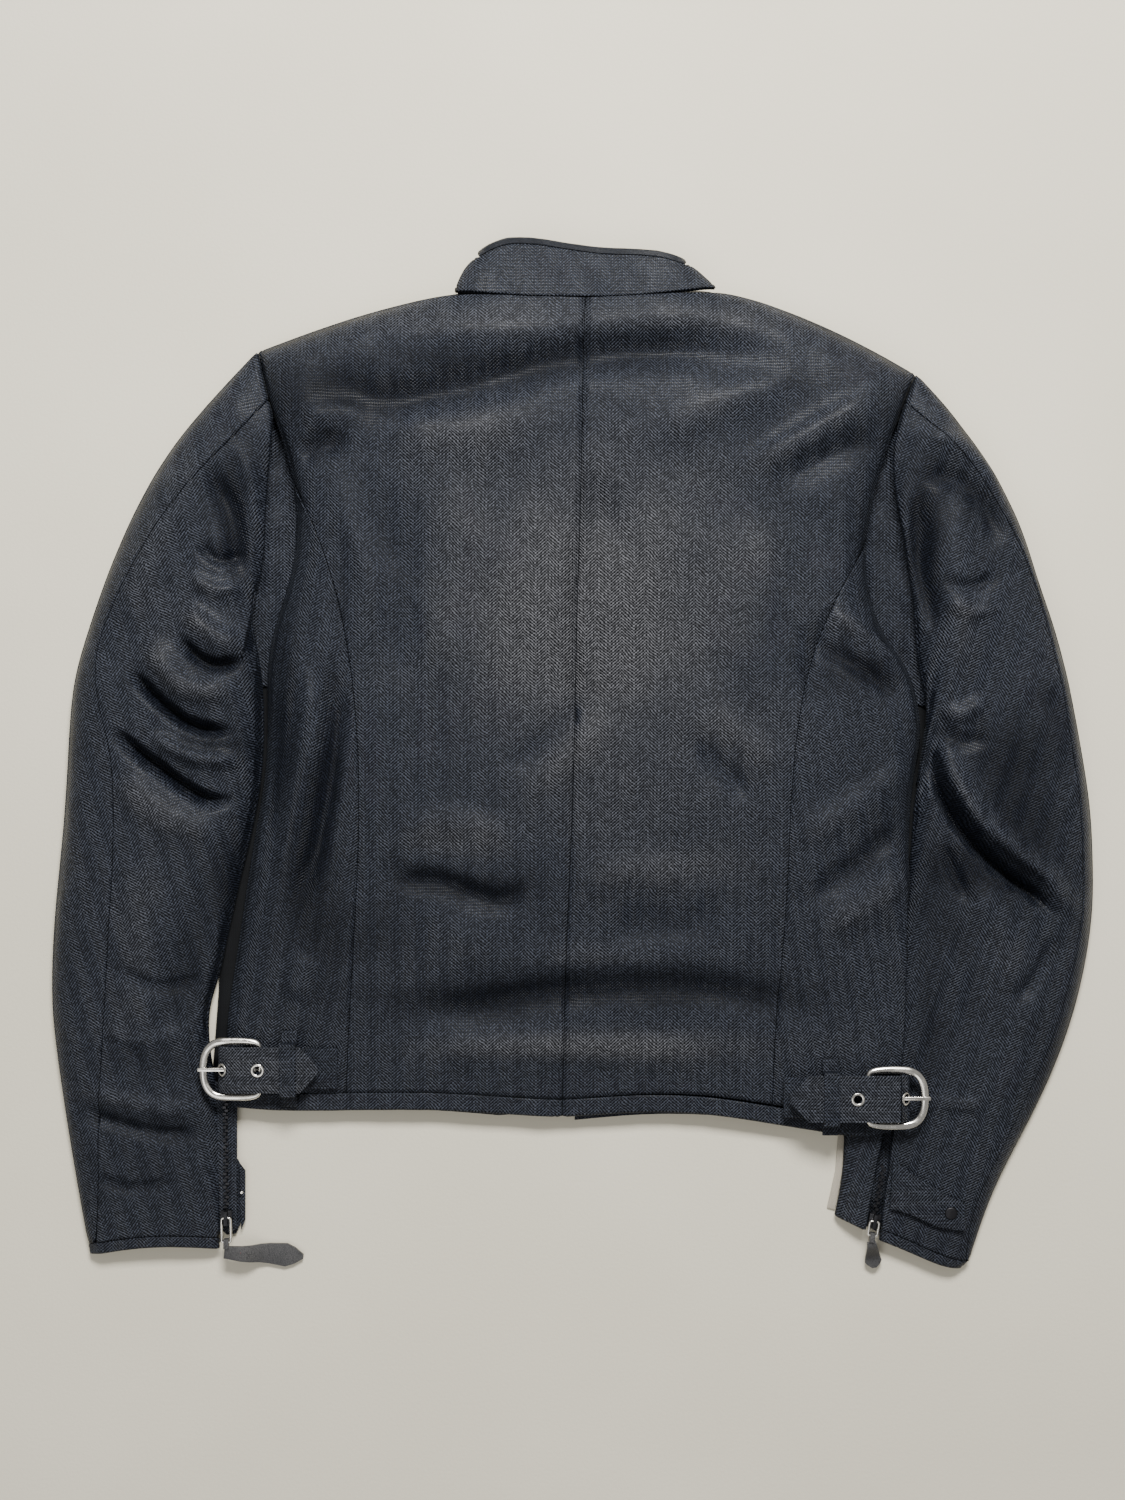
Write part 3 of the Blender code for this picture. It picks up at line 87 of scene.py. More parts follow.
# The armhole, from the body to the sleeve
SLEEVES = {
    "left": ((-0.212, 0.262, 0), (-0.251, 0.244, 0)),
    "right": ((0.232, 0.250, 0), (0.271, 0.2315, 0)),
}

# Folds: (points in millimetres, height in millimetres, spread to the left and right of the line)
BACK_FOLDS = (
    (((-175, 306), (-88, 303), (5, 306), (92, 310), (171, 296)), 3.0, 15, 12),
    (((-198, 274), (-160, 262), (-124, 256), (-67, 267), (-2, 284), (85, 290), (157, 279)), -6.5, 13, 15),
    (((-139, 232), (-67, 232), (-9, 254)), 3.0, 14, 18),
    (((117, 200), (164, 227), (221, 260)), 4.5, 8, 13),
    (((142, 191), (185, 216), (225, 227)), -4.0, 9, 9),
    (((49, 227), (106, 252), (164, 263)), 3.0, 13, 13),
    (((-198, 214), (-160, 227)), -5.0, 9, 9),
    (((-196, 240), (-146, 247)), 3.0, 8, 8),
    (((-157, 205), (-160, 170), (-146, 126), (-154, 76)), 2.8, 10, 10),
    (((-124, 205), (-132, 162), (-121, 112), (-128, 47)), -3.0, 12, 12),
    (((-95, 213), (-84, 155), (-95, 98), (-88, 40)), 2.2, 14, 14),
    (((-38, 141), (-49, 83), (-31, 40)), 1.6, 13, 13),
    (((-50, -14), (-23, 8), (13, 47)), -2.6, 9, 9),
    (((-38, -32), (-2, -3), (27, 29)), 2.2, 11, 11),
    (((85, 15), (106, -10), (131, -32)), -3.4, 8, 8),
    (((92, 40), (121, 11), (149, -10)), 2.4, 10, 10),
    (((-137, -72), (-118, -88), (-95, -90), (-52, -104), (-25, -88)), -5.5, 8, 9),
    (((-124, -57), (-88, -46), (-38, -61)), 3.0, 11, 11),
    (((-110, -122), (-52, -136)), 2.0, 13, 13),
    (((20, -115), (77, -122), (121, -100)), -2.6, 12, 12),
    (((-9, -90), (49, -82), (92, -90)), 2.0, 12, 12),
    (((-139, -150), (-9, -144), (135, -146)), 2.0, 12, 12),
    (((-150, -184), (-74, -181), (-9, -169), (92, -166), (190, -188)), -5.0, 11, 13),
    (((-131, -214), (-9, -210), (121, -214)), 3.2, 12, 12),
    (((-196, 76), (-185, 26), (-196, -32), (-207, -82)), 4.5, 8, 9),
    (((-171, 76), (-169, 11), (-180, -54), (-192, -93), (-202, -129)), -5.5, 6, 7),
    (((-209, 47), (-213, -18), (-216, -68)), -3.0, 5, 6),
    (((-190, -140), (-200, -178)), 3.0, 8, 8),
    (((167, 83), (200, 65), (239, 36)), -4.5, 7, 6),
    (((178, 105), (214, 83), (239, 62)), 4.0, 8, 8),
    (((164, -108), (200, -79), (239, -46)), -4.0, 8, 9),
    (((171, -128), (214, -106), (247, -77)), 3.2, 10, 10),
    (((164, -61), (207, -32), (244, -3)), 2.8, 10, 10),
    (((135, 170), (121, 112), (124, 54)), 2.0, 14, 14),
    (((164, 160), (149, 112), (146, 47)), -2.4, 11, 11),
)
ARM_FOLDS = {
    "left": (
        (((-239, 242), (-275, 191), (-304, 134), (-322, 83)), 2.8, 12, 12),
        (((-262, 210), (-243, 170), (-238, 119)), -4.5, 8, 9),
        (((-240, 227), (-228, 184), (-228, 134)), 2.5, 7, 7),
        (((-279, 107), (-252, 84), (-230, 84)), 4.5, 7, 9),
        (((-283, 85), (-259, 66), (-232, 68)), -6.5, 3.5, 4.5),
        (((-306, 85), (-277, 49), (-236, 46)), 5.5, 10, 9),
        (((-318, 62), (-277, 25), (-240, 17)), -9.0, 3.5, 4.5),
        (((-306, 17), (-270, -1), (-234, -3)), 4.5, 5, 6),
        (((-332, 22), (-300, -4), (-266, -28), (-238, -32)), -8.5, 3.2, 6),
        (((-328, -10), (-292, -44), (-245, -57)), 4.0, 11, 12),
        (((-304, -68), (-311, -140), (-319, -219)), 2.2, 16, 16),
        (((-257, -68), (-275, -140), (-290, -205)), -3.2, 13, 12),
        (((-270, 152), (-252, 140), (-234, 146)), -3.5, 4, 4),
        (((-276, 130), (-254, 118), (-232, 122)), 3.0, 5, 5),
        (((-330, -150), (-300, -165), (-262, -160)), -2.4, 5, 7),
        (((-345, -190), (-310, -205), (-270, -196)), 2.0, 7, 7),
        (((-352, -302), (-318, -312), (-284, -306)), -2.6, 5, 5),
        (((-245, -104), (-259, -162), (-268, -219)), 2.2, 8, 8),
        (((-364, -253), (-305, -271), (-258, -272)), -4.0, 5, 6),
        (((-358, -238), (-304, -253), (-259, -256)), 2.8, 8, 7),
    ),
    "right": (
        (((236, 205), (239, 155), (249, 105), (252, 62)), 3.5, 6, 6),
        (((250, 198), (249, 141), (260, 83)), -4.8, 7, 7),
        (((272, 184), (275, 112), (280, 47)), 3.0, 11, 12),
        (((240, 220), (259, 227), (290, 216), (315, 184)), 3.8, 9, 9),
        (((243, 190), (264, 200), (290, 184), (308, 148)), -3.8, 8, 8),
        (((262, 40), (274, 29), (297, 40)), 3.2, 6, 6),
        (((262, 22), (277, 10), (300, 15)), -3.0, 6, 6),
        (((262, 14), (274, -20), (290, -46), (315, -68), (340, -89), (364, -122)), 6.5, 9, 5),
        (((256, 8), (264, -25), (280, -54), (303, -79), (330, -100), (352, -121)), -11.0, 4, 4),
        (((281, -84), (308, -126), (322, -176)), 3.0, 13, 13),
        (((262, -110), (285, -150), (290, -205)), -2.5, 11, 11),
        (((262, 128), (280, 120), (304, 128)), -3.2, 4, 4),
        (((264, 112), (284, 102), (306, 108)), 2.6, 5, 5),
        (((332, 60), (350, 20), (356, -30)), -2.4, 7, 9),
        (((266, -62), (276, -88), (288, -108)), -3.5, 4, 5),
        (((345, -128), (336, -152), (318, -178)), -3.0, 5, 5),
        (((254, -246), (276, -252), (300, -250)), 1.8, 5, 5),
        (((340, -150), (318, -205), (296, -262)), 2.0, 12, 12),
    ),
}

# Painted light (+), partly fading, and painted shade (-) on the cloth: (place, reach across and along,
# amount) in millimetres
BACK_PAINTED_LIGHT_AND_FADE = (
    ((12, 95), (108, 135), 0.85), ((20, 150), (60, 50), 0.15), ((140, 140), (26, 55), 0.25),
    ((0, -208), (150, 11), 0.45), ((-98, -62), (34, 12), 0.45), ((90, -78), (40, 14), 0.25),
    ((8, 404), (95, 16), 0.35), ((-60, 318), (70, 10), 0.2), ((110, 312), (60, 10), 0.2),
    ((-172, 256), (50, 22), -0.65), ((-85, 284), (58, 12), -0.5), ((150, 268), (50, 10), -0.4),
    ((-184, -50), (20, 100), -0.75), ((-205, 20), (12, 90), -0.5), ((215, -40), (22, 60), -0.3),
    ((0, -172), (170, 10), -0.5), ((-60, -92), (46, 10), -0.45), ((200, 60), (35, 12), -0.45),
    ((150, 240), (45, 24), -0.35), ((214, 130), (14, 60), -0.4), ((-160, 120), (12, 60), -0.3),
    ((-140, -130), (45, 26), -0.25),
)
# The same painted light, partly fading, and painted shade on the sleeves
ARM_PAINTED_LIGHT_AND_FADE = {
    "left": (((-240, 180), (18, 62), -0.55), ((-250, 8), (34, 12), -0.6), ((-246, -125), (12, 80), -0.6),
             ((-300, -95), (30, 90), 0.10), ((-296, 100), (24, 50), 0.15), ((-300, -215), (60, 14), -0.3),
             ((-340, 60), (26, 60), 0.1), ((-262, 62), (26, 8), -0.4)),
    "right": (((252, 150), (18, 70), -0.55), ((312, -22), (40, 62), -0.65), ((300, -80), (60, 20), -0.6),
              ((300, 170), (40, 50), -0.25), ((258, -170), (14, 90), -0.45), ((340, 60), (30, 60), 0.12),
              ((330, -170), (34, 70), -0.1), ((290, 240), (30, 22), 0.1)),
}

# Red bar tacks sewn across the left cuff's pull tab, in millimetres
TAB_TACKS = (((-243, -358.0), (-236, -359.0)), ((-226, -359.4), (-213, -360.4)))


# The gusset under each arm: (body side, sleeve side) in millimetres, and how it sinks between them
UNDERARM = {
    "left": (((-221, 287), (-209, 256), (-202, 231), (-195, 196), (-192, 171), (-195, 136),
              (-205, 103), (-213, 76), (-214, 50)),
             ((-230, 287), (-224, 262), (-219, 238), (-226, 212), (-228, 188), (-226, 159),
              (-230, 127), (-238, 103), (-233, 50))),
    "right": (((239, 268), (224, 238), (214, 209), (207, 177), (205, 151), (205, 134),
               (208, 112), (218, 86), (240, 40)),
              ((248, 270), (240, 246), (234, 221), (238, 192), (242, 167), (251, 139),
               (251, 112), (252, 82), (262, 33))),
}
GUSSET_LEVELS = (0.0105, 0.0070, 0.0048, 0.0044, 0.0052, 0.0080, 0.0110)

# The front layer between each side and its sleeve, in black lining cloth as painted shade in the gap: (body
# side, sleeve side) in millimetres
SIDE_SHADE_STRIPS = {
    "left": (((-213, 74), (-213, 9), (-217, -25), (-228, -89), (-235, -140), (-241, -178), (-243, -240)),
             ((-231, 74), (-230, 9), (-234, -39), (-245, -83), (-255, -126), (-257, -172), (-262, -240))),
    "right": (((236, 72), (246, 22), (238, -25), (236, -62), (235, -95)),
              ((262, 60), (268, 7), (257, -20), (254, -48), (250, -90))),
}
STRIP_LEVEL = 0.0027

# Topstitching lies this far in from the edge of a waist strap
STRAP_HALF, STRAP_INSET = 0.0165, 0.0022


# ---- shader helpers ------------------------------------------------------------------------------
def put(tree, kind, settings=None, **inputs):
    """Adds a shader node, with its properties set and its inputs fed from sockets or values."""
    made = tree.nodes.new("ShaderNode" + kind)
    for key, value in (settings or {}).items():
        setattr(made, key, value)
    for key, value in inputs.items():
        feed(tree, made.inputs[key.replace("_", " ")], value)
    return made


def feed(tree, socket, value):
    if isinstance(value, bpy.types.NodeSocket):
        tree.links.new(value, socket)
    else:
        socket.default_value = value


def calc(tree, operation, *values):
    made = put(tree, "Math", {"operation": operation})
    for socket, value in zip(made.inputs, values):
        feed(tree, socket, value)
    return made.outputs[0]


def remap(tree, value, low, high, to_low=0.0, to_high=1.0):
    made = put(tree, "MapRange", {"interpolation_type": "SMOOTHSTEP"}, Value=value)
    for key, number in (("From Min", low), ("From Max", high), ("To Min", to_low), ("To Max", to_high)):
        made.inputs[key].default_value = number
    return made.outputs["Result"]


def tinted(tree, share, first, second):
    made = put(tree, "Mix", {"data_type": "RGBA"})
    feed(tree, made.inputs["Factor"], share)
    for socket, value in ((made.inputs[6], first), (made.inputs[7], second)):
        feed(tree, socket, value if isinstance(value, bpy.types.NodeSocket) else (*value, 1.0))
    return made.outputs[2]


def shader_group(name, inputs, outputs):
    """An empty node group with named sockets, and its input and output nodes."""
    tree = bpy.data.node_groups.new(name, "ShaderNodeTree")
    for label, kind in inputs:
        tree.interface.new_socket(name=label, in_out="INPUT", socket_type="NodeSocket" + kind)
    for label, kind in outputs:
        tree.interface.new_socket(name=label, in_out="OUTPUT", socket_type="NodeSocket" + kind)
    return tree, tree.nodes.new("NodeGroupInput").outputs, tree.nodes.new("NodeGroupOutput").inputs


def build_knit():
    """Warp-knit mesh: staggered holes between plump loops, in runs that lean one way and then the other, and
    a random brightness for each loop as a painted glint.
    """
    tree, given, made = shader_group(
        "knit_mesh", [("Vector", "Vector"), ("Pitch", "Float"), ("Openness", "Float")],
        [("Hole", "Float"), ("Height", "Float"), ("Glint", "Float")])
    scaled = put(tree, "VectorMath", {"operation": "DIVIDE"}, Vector=given["Vector"])
    shorter = calc(tree, "MULTIPLY", given["Pitch"], 0.9)
    pitch = put(tree, "CombineXYZ", X=given["Pitch"], Y=shorter, Z=given["Pitch"])
    tree.links.new(pitch.outputs[0], scaled.inputs[1])
    wobble = put(tree, "TexNoise", Vector=scaled.outputs[0], Scale=0.22, Detail=1.0)
    bent = calc(tree, "MULTIPLY", calc(tree, "SUBTRACT", wobble.outputs["Fac"], 0.5), 0.9)
    split = put(tree, "SeparateXYZ", Vector=scaled.outputs[0])
    across = calc(tree, "ADD", split.outputs["X"], bent)
    along = calc(tree, "ADD", split.outputs["Y"], bent)
    rising = calc(tree, "ADD", across, along)
    falling = calc(tree, "SUBTRACT", across, along)
    lean = calc(tree, "MULTIPLY", calc(tree, "SINE", calc(tree, "MULTIPLY", across, 0.9)), 0.22)
    waves = [calc(tree, "COSINE", calc(tree, "MULTIPLY", way, 2 * math.pi))
             for way in (rising, falling, across)]
    lattice = calc(tree, "ADD", calc(tree, "MULTIPLY", waves[0], calc(tree, "ADD", 0.5, lean)),
                   calc(tree, "MULTIPLY", waves[1], calc(tree, "SUBTRACT", 0.5, lean)))
    lattice = calc(tree, "ADD", lattice, calc(tree, "MULTIPLY", waves[2], 0.35))
    hole = remap(tree, calc(tree, "ADD", lattice, given["Openness"]), -0.12, 0.30)
    # A random brightness for each loop, painted in as its glint
    cell = put(tree, "CombineXYZ", X=calc(tree, "FLOOR", rising), Y=calc(tree, "FLOOR", falling))
    glint = put(tree, "TexWhiteNoise", Vector=cell.outputs[0])
    tree.links.new(hole, made["Hole"])
    tree.links.new(calc(tree, "SUBTRACT", 1.0, remap(tree, lattice, -0.9, 0.6)), made["Height"])
    tree.links.new(glint.outputs["Value"], made["Glint"])
    return tree


def build_cloud():
    """Slow, cloudy variation, as cloth shows where it has been rubbed and folded."""
    tree, given, made = shader_group("cloudy_wear", [("Vector", "Vector"), ("Size", "Float")],
                                     [("Value", "Float")])
    scale = calc(tree, "DIVIDE", 1.0, given["Size"])
    broad = put(tree, "TexNoise", Vector=given["Vector"], Scale=scale, Detail=3.0, Roughness=0.55)
    tree.links.new(remap(tree, broad.outputs["Fac"], 0.32, 0.68), made["Value"])
    return tree


def build_grain():
    """Leather pores and creases."""
    tree, given, made = shader_group("leather_grain", [("Vector", "Vector"), ("Scale", "Float")],
                                     [("Height", "Float"), ("Crease", "Float")])
    cells = put(tree, "TexVoronoi", {"feature": "DISTANCE_TO_EDGE"}, Vector=given["Vector"],
                Scale=given["Scale"])
    crease = remap(tree, cells.outputs["Distance"], 0.0, 0.18)
    finer = calc(tree, "MULTIPLY", given["Scale"], 3.0)
    pores = put(tree, "TexNoise", Vector=given["Vector"], Scale=finer, Detail=2.0)
    tree.links.new(calc(tree, "ADD", calc(tree, "MULTIPLY", crease, 0.7),
                        calc(tree, "MULTIPLY", pores.outputs["Fac"], 0.3)), made["Height"])
    tree.links.new(crease, made["Crease"])
    return tree


KNIT, CLOUD, GRAIN = build_knit(), build_cloud(), build_grain()


def grouped(tree, group, **inputs):
    made = tree.nodes.new("ShaderNodeGroup")
    made.node_tree = group
    for key, value in inputs.items():
        feed(tree, made.inputs[key], value)
    return made.outputs


def new_material(name, roughness, metallic=0.0, sheen=0.0, sheen_tint=(1, 1, 1), specular=0.5):
    made = bpy.data.materials.new(name)
    made.use_nodes = True
    shader = made.node_tree.nodes["Principled BSDF"]
    shader.inputs["Roughness"].default_value = roughness
    shader.inputs["Metallic"].default_value = metallic
    shader.inputs["Sheen Weight"].default_value = sheen
    shader.inputs["Sheen Roughness"].default_value = 0.42
    shader.inputs["Specular IOR Level"].default_value = specular
    shader.inputs["Sheen Tint"].default_value = (*sheen_tint, 1.0)
    return made, made.node_tree, shader


def placed(tree, turn=0.0):
    """Object coordinates turned about Z, so that a weave runs along its panel."""
    coordinates = put(tree, "TexCoord").outputs["Object"]
    mapping = put(tree, "Mapping", {"vector_type": "POINT"}, Vector=coordinates)
    mapping.inputs["Rotation"].default_value = (0, 0, math.radians(turn))
    return coordinates, mapping.outputs[0]


def relief(tree, shader, height, strength, depth):
    bump = put(tree, "Bump", Height=height)
    bump.inputs["Strength"].default_value = strength
    bump.inputs["Distance"].default_value = depth
    tree.links.new(bump.outputs[0], shader.inputs["Normal"])


def knit_cloth(name, turn, pitch=KNIT_PITCH, openness=0.0, light=(0.033, 0.038, 0.052), specular=0.14):
    """Navy mesh: near-black holes, satin loops with painted glints, painted shade in its creases and on its
    sides, and painted light, partly fading, in pale grey on its ridges and lit patches.
    """
    made, tree, shader = new_material(name, 0.42, sheen=0.04, sheen_tint=(0.62, 0.68, 0.80),
                                      specular=specular)
    place, turned = placed(tree, turn)
    knit = grouped(tree, KNIT, Vector=turned, Pitch=pitch, Openness=openness)
    cloud = grouped(tree, CLOUD, Vector=place, Size=0.085)["Value"]
    # Painted light and shade, partly fading, stored on each piece at its points
    painted_light_and_fade = put(tree, "Attribute", {"attribute_name": "painted_light_and_fade"}).outputs["Fac"]
    shade = calc(tree, "ADD", painted_light_and_fade, calc(tree, "MULTIPLY", calc(tree, "SUBTRACT", cloud, 0.5), 0.26))
    # Above zero the yarn goes towards the pale grey of painted light and fading, below zero towards the dark
    # of painted shade
    yarn = tinted(tree, remap(tree, shade, 0.0, 1.0), light, PAINTED_HIGHLIGHT_AND_FADE)
    yarn = tinted(tree, remap(tree, shade, 0.1, -0.8), yarn, PAINTED_SHADE_DARK)
    # Painted glints: each loop's yarn made randomly brighter or darker
    bright = calc(tree, "ADD", 0.55, calc(tree, "MULTIPLY", knit["Glint"], 0.9))
    glint = put(tree, "CombineColor", Red=bright, Green=bright, Blue=bright).outputs[0]
    lit = put(tree, "Mix", {"data_type": "RGBA", "blend_type": "MULTIPLY"})
    for socket, value in ((lit.inputs["Factor"], 1.0), (lit.inputs[6], yarn), (lit.inputs[7], glint)):
        feed(tree, socket, value)
    tree.links.new(tinted(tree, knit["Hole"], lit.outputs[2], HOLE_DARK), shader.inputs["Base Color"])
    tree.links.new(remap(tree, cloud, 0.0, 1.0, 0.50, 0.38), shader.inputs["Roughness"])
    relief(tree, shader, knit["Height"], 0.7, 0.0008)
    return made


def leather(name, colour, worn):
    made, tree, shader = new_material(name, 0.48)
    place, _ = placed(tree)
    grain = grouped(tree, GRAIN, Vector=place, Scale=900.0)
    cloud = grouped(tree, CLOUD, Vector=place, Size=0.02)["Value"]
    skin = tinted(tree, cloud, colour, worn)
    low = tuple(c * 0.45 for c in colour)
    tree.links.new(tinted(tree, grain["Crease"], low, skin), shader.inputs["Base Color"])
    tree.links.new(remap(tree, cloud, 0.0, 1.0, 0.42, 0.58), shader.inputs["Roughness"])
    relief(tree, shader, grain["Height"], 0.5, 0.0004)
    return made


def metal(name, colour, dull, roughness):
    """Nickel plate with fine rubbing marks and dull patches."""
    made, tree, shader = new_material(name, roughness, metallic=1.0)
    place, _ = placed(tree)
    cloud = grouped(tree, CLOUD, Vector=place, Size=0.007)["Value"]
    marks = put(tree, "TexNoise", Vector=place, Scale=2600.0, Detail=2.0)
    plate = tinted(tree, calc(tree, "MULTIPLY", cloud, 0.6), colour, dull)
    rubbed = remap(tree, cloud, 0.0, 1.0, roughness - 0.06, roughness + 0.14)
    tree.links.new(plate, shader.inputs["Base Color"])
    tree.links.new(rubbed, shader.inputs["Roughness"])
    relief(tree, shader, marks.outputs["Fac"], 0.12, 0.0001)
    return made


def plain_weave(name, colour, shade, pitch, roughness, turn=0.0):
    """Twill, tape, lining or facing: a close weave with no holes."""
    made, tree, shader = new_material(name, roughness, sheen=0.05, specular=0.15)
    place, turned = placed(tree, turn)
    knit = grouped(tree, KNIT, Vector=turned, Pitch=pitch, Openness=-0.35)
    cloud = grouped(tree, CLOUD, Vector=place, Size=0.03)["Value"]
    skin = tinted(tree, cloud, colour, shade)
    low = tuple(c * 0.5 for c in colour)
    tree.links.new(tinted(tree, knit["Height"], low, skin), shader.inputs["Base Color"])
    relief(tree, shader, knit["Height"], 0.4, 0.0003)
    return made


# Hole colour, the dark of painted shade, and the pale grey of painted highlight with fading
HOLE_DARK, PAINTED_SHADE_DARK, PAINTED_HIGHLIGHT_AND_FADE = (0.0012, 0.0015, 0.0028), (0.007, 0.009, 0.015), (0.088, 0.090, 0.100)
CLOTHS = {turn: knit_cloth(f"navy_mesh_{label}", turn)
          for turn, label in ((0, "back"), (9, "side_left"), (-9, "side_right"), (-14, "arm_left"),
                              (16, "arm_right"), (90, "strap"))}
BINDING = knit_cloth("navy_binding", 0, pitch=BINDING_PITCH, openness=-0.4, light=(0.013, 0.016, 0.024),
                     specular=0.3)
LINING = plain_weave("black_lining", (0.005, 0.0055, 0.007), (0.008, 0.009, 0.011), 0.0012, 0.8)
FOAM = plain_weave("black_armour_cover", (0.016, 0.016, 0.018), (0.026, 0.026, 0.028), 0.0016, 0.8, 45)
TAPE = plain_weave("zip_tape", (0.012, 0.013, 0.017), (0.018, 0.019, 0.024), 0.0008, 0.7)
FACING = plain_weave("cream_facing", (0.60, 0.55, 0.46), (0.50, 0.45, 0.37), 0.0009, 0.85)
THREAD = plain_weave("navy_thread", (0.050, 0.057, 0.078), (0.070, 0.076, 0.095), 0.0005, 0.4)
RED_THREAD = plain_weave("red_thread", (0.30, 0.03, 0.02), (0.20, 0.02, 0.02), 0.0005, 0.5)
TAB_LEATHER = leather("grey_leather", (0.050, 0.050, 0.054), (0.085, 0.084, 0.086))
NICKEL = metal("nickel", (0.83, 0.81, 0.77), (0.62, 0.60, 0.56), 0.22)
DARK_METAL = metal("black_nickel", (0.045, 0.045, 0.050), (0.022, 0.022, 0.026), 0.42)


# ---- mesh helpers --------------------------------------------------------------------------------
def smoothstep(low, high, value):
    t = np.clip((value - low) / (high - low), 0.0, 1.0)
    return t * t * (3 - 2 * t)


def new_object(name, bm, finish):
    mesh = bpy.data.meshes.new(name)
    bm.to_mesh(mesh)
    bm.free()
    mesh.materials.append(finish)
    made = bpy.data.objects.new(name, mesh)
    bpy.context.collection.objects.link(made)
    return made


def apply_modifier(piece, kind, **settings):
    step = piece.modifiers.new(kind.lower(), kind)
    for key, value in settings.items():
        setattr(step, key, value)
    bpy.context.view_layer.objects.active = piece
    bpy.ops.object.modifier_apply(modifier=step.name)


def dense(points, spans=8):
    """A Catmull-Rom line through plan or space points."""
    points = [Vector(p) for p in points]
    ends = [points[0] * 2 - points[1]] + points + [points[-1] * 2 - points[-2]]
    line = []
    for a, b, c, d in zip(ends, ends[1:], ends[2:], ends[3:]):
        for k in range(spans):
            t = k / spans
            line.append(0.5 * (2 * b + (c - a) * t + (2 * a - 5 * b + 4 * c - d) * t * t
                               + (3 * b - a - 3 * c + d) * t ** 3))
    return line + [points[-1]]


def fold_heights(places, folds):
    """How far the listed folds lift or sink each plan place."""
    lift = np.zeros(len(places))
    for points, height, left, right in folds:
        line = np.array([p[:] for p in dense([Vector(p) * MM for p in points])])
        steps = line[1:] - line[:-1]
        lengths = np.hypot(*steps.T)
        reached = np.concatenate(([0], np.cumsum(lengths)))
        best, along, side = np.full(len(places), 1e9), np.zeros(len(places)), np.zeros(len(places))
        for k, (start, step) in enumerate(zip(line, steps)):
            gap = places - start
            t = np.clip(gap @ step / (step @ step), 0, 1)
            away = np.hypot(*(gap - t[:, None] * step).T)
            nearer = away < best
            best = np.where(nearer, away, best)
            along = np.where(nearer, reached[k] + t * lengths[k], along)
            side = np.where(nearer, step[0] * gap[:, 1] - step[1] * gap[:, 0], side)
        spread = np.where(side > 0, left, right) * MM
        share = along / reached[-1]
        taper = smoothstep(-0.02, 0.28, share) * smoothstep(1.02, 0.72, share)
        lift += FOLD_DEPTH * height * MM * taper * np.exp(-(best / spread) ** 2)
    return lift


def painted_light_and_fade_amounts(places, folds, patches):
    """How much painted shade lies in the valleys and painted light on the ridges at each plan place, plus
    the listed patches of painted light and shade, partly fading.
    """
    # Painted shade in the valleys and painted light on the ridges, in step with the fold height
    amount = fold_heights(places, folds) / MM * 0.065
    for (x, y), (across, along), share in patches:
        reach = (places - np.array((x, y)) * MM) / (np.array((across, along)) * MM)
        amount += share * np.exp(-(reach ** 2).sum(1))
    return amount


def soft_noise(places, seed):
    """Small unevenness that cloth keeps after handling."""
    lift = []
    for x, y in places:
        broad = noise.noise(Vector((x * 22, y * 19, seed)))
        fine = noise.noise(Vector((x * 62, y * 50, seed + 7)))
        lift.append(BROAD_SWELL * broad + FINE_SWELL * fine)
    return np.array(lift)


def skin_of(node):
    """The upper side of a CAD sheet, its triangles paired into quads."""
    bm = bmesh.new()
    bm.from_mesh(frame["nodes"][node].data)
    bmesh.ops.remove_doubles(bm, verts=bm.verts, dist=2e-5)
    under = [f for f in bm.faces if f.normal.z < 0.04]
    bmesh.ops.delete(bm, geom=under, context="FACES")
    bmesh.ops.join_triangles(bm, faces=bm.faces, angle_face_threshold=3.1, angle_shape_threshold=3.1)
    return bm


def rim_samples(node):
    """Points every 2 mm along the edge of a CAD sheet, in plan."""
    bm = skin_of(node)
    found = []
    for edge in bm.edges:
        if edge.is_boundary:
            a, b = (v.co.xy for v in edge.verts)
            count = max(int((b - a).length / 0.002), 1)
            found += [a.lerp(b, k / count) for k in range(count + 1)]
    bm.free()
    return found


SHELL_NODES = ["back_panel_left", "back_panel_right", "side_back_panel_left", "side_back_panel_right",
               "hem_band_left", "hem_band_right", "collar_shell", "collar_binding", "cuff_gusset_right"]
for word in SLEEVES:
    SHELL_NODES += [f"sleeve_back_panel_{word}", f"sleeve_outer_panel_{word}", f"cuff_band_{word}"]
RIMS = {node: rim_samples(node) for node in SHELL_NODES}


def tree_of(points):
    tree = KDTree(len(points))
    for k, point in enumerate(points):
        tree.insert((*point, 0), k)
    tree.balance()
    return tree


RIM_TREES = {node: tree_of(points) for node, points in RIMS.items()}


def sewn_share(node, point):
    """1 where a sheet's edge is sewn and 0 where it is turned, then half the gap to its neighbour there."""
    if node not in RIMS:
        return 0.0, 0.0
    away = min(tree.find((*point, 0))[2] for other, tree in RIM_TREES.items() if other != node)
    share = float(1 - smoothstep(SEAM_REACH, SEAM_REACH * 2.2, away))
    return share, share * away / 2


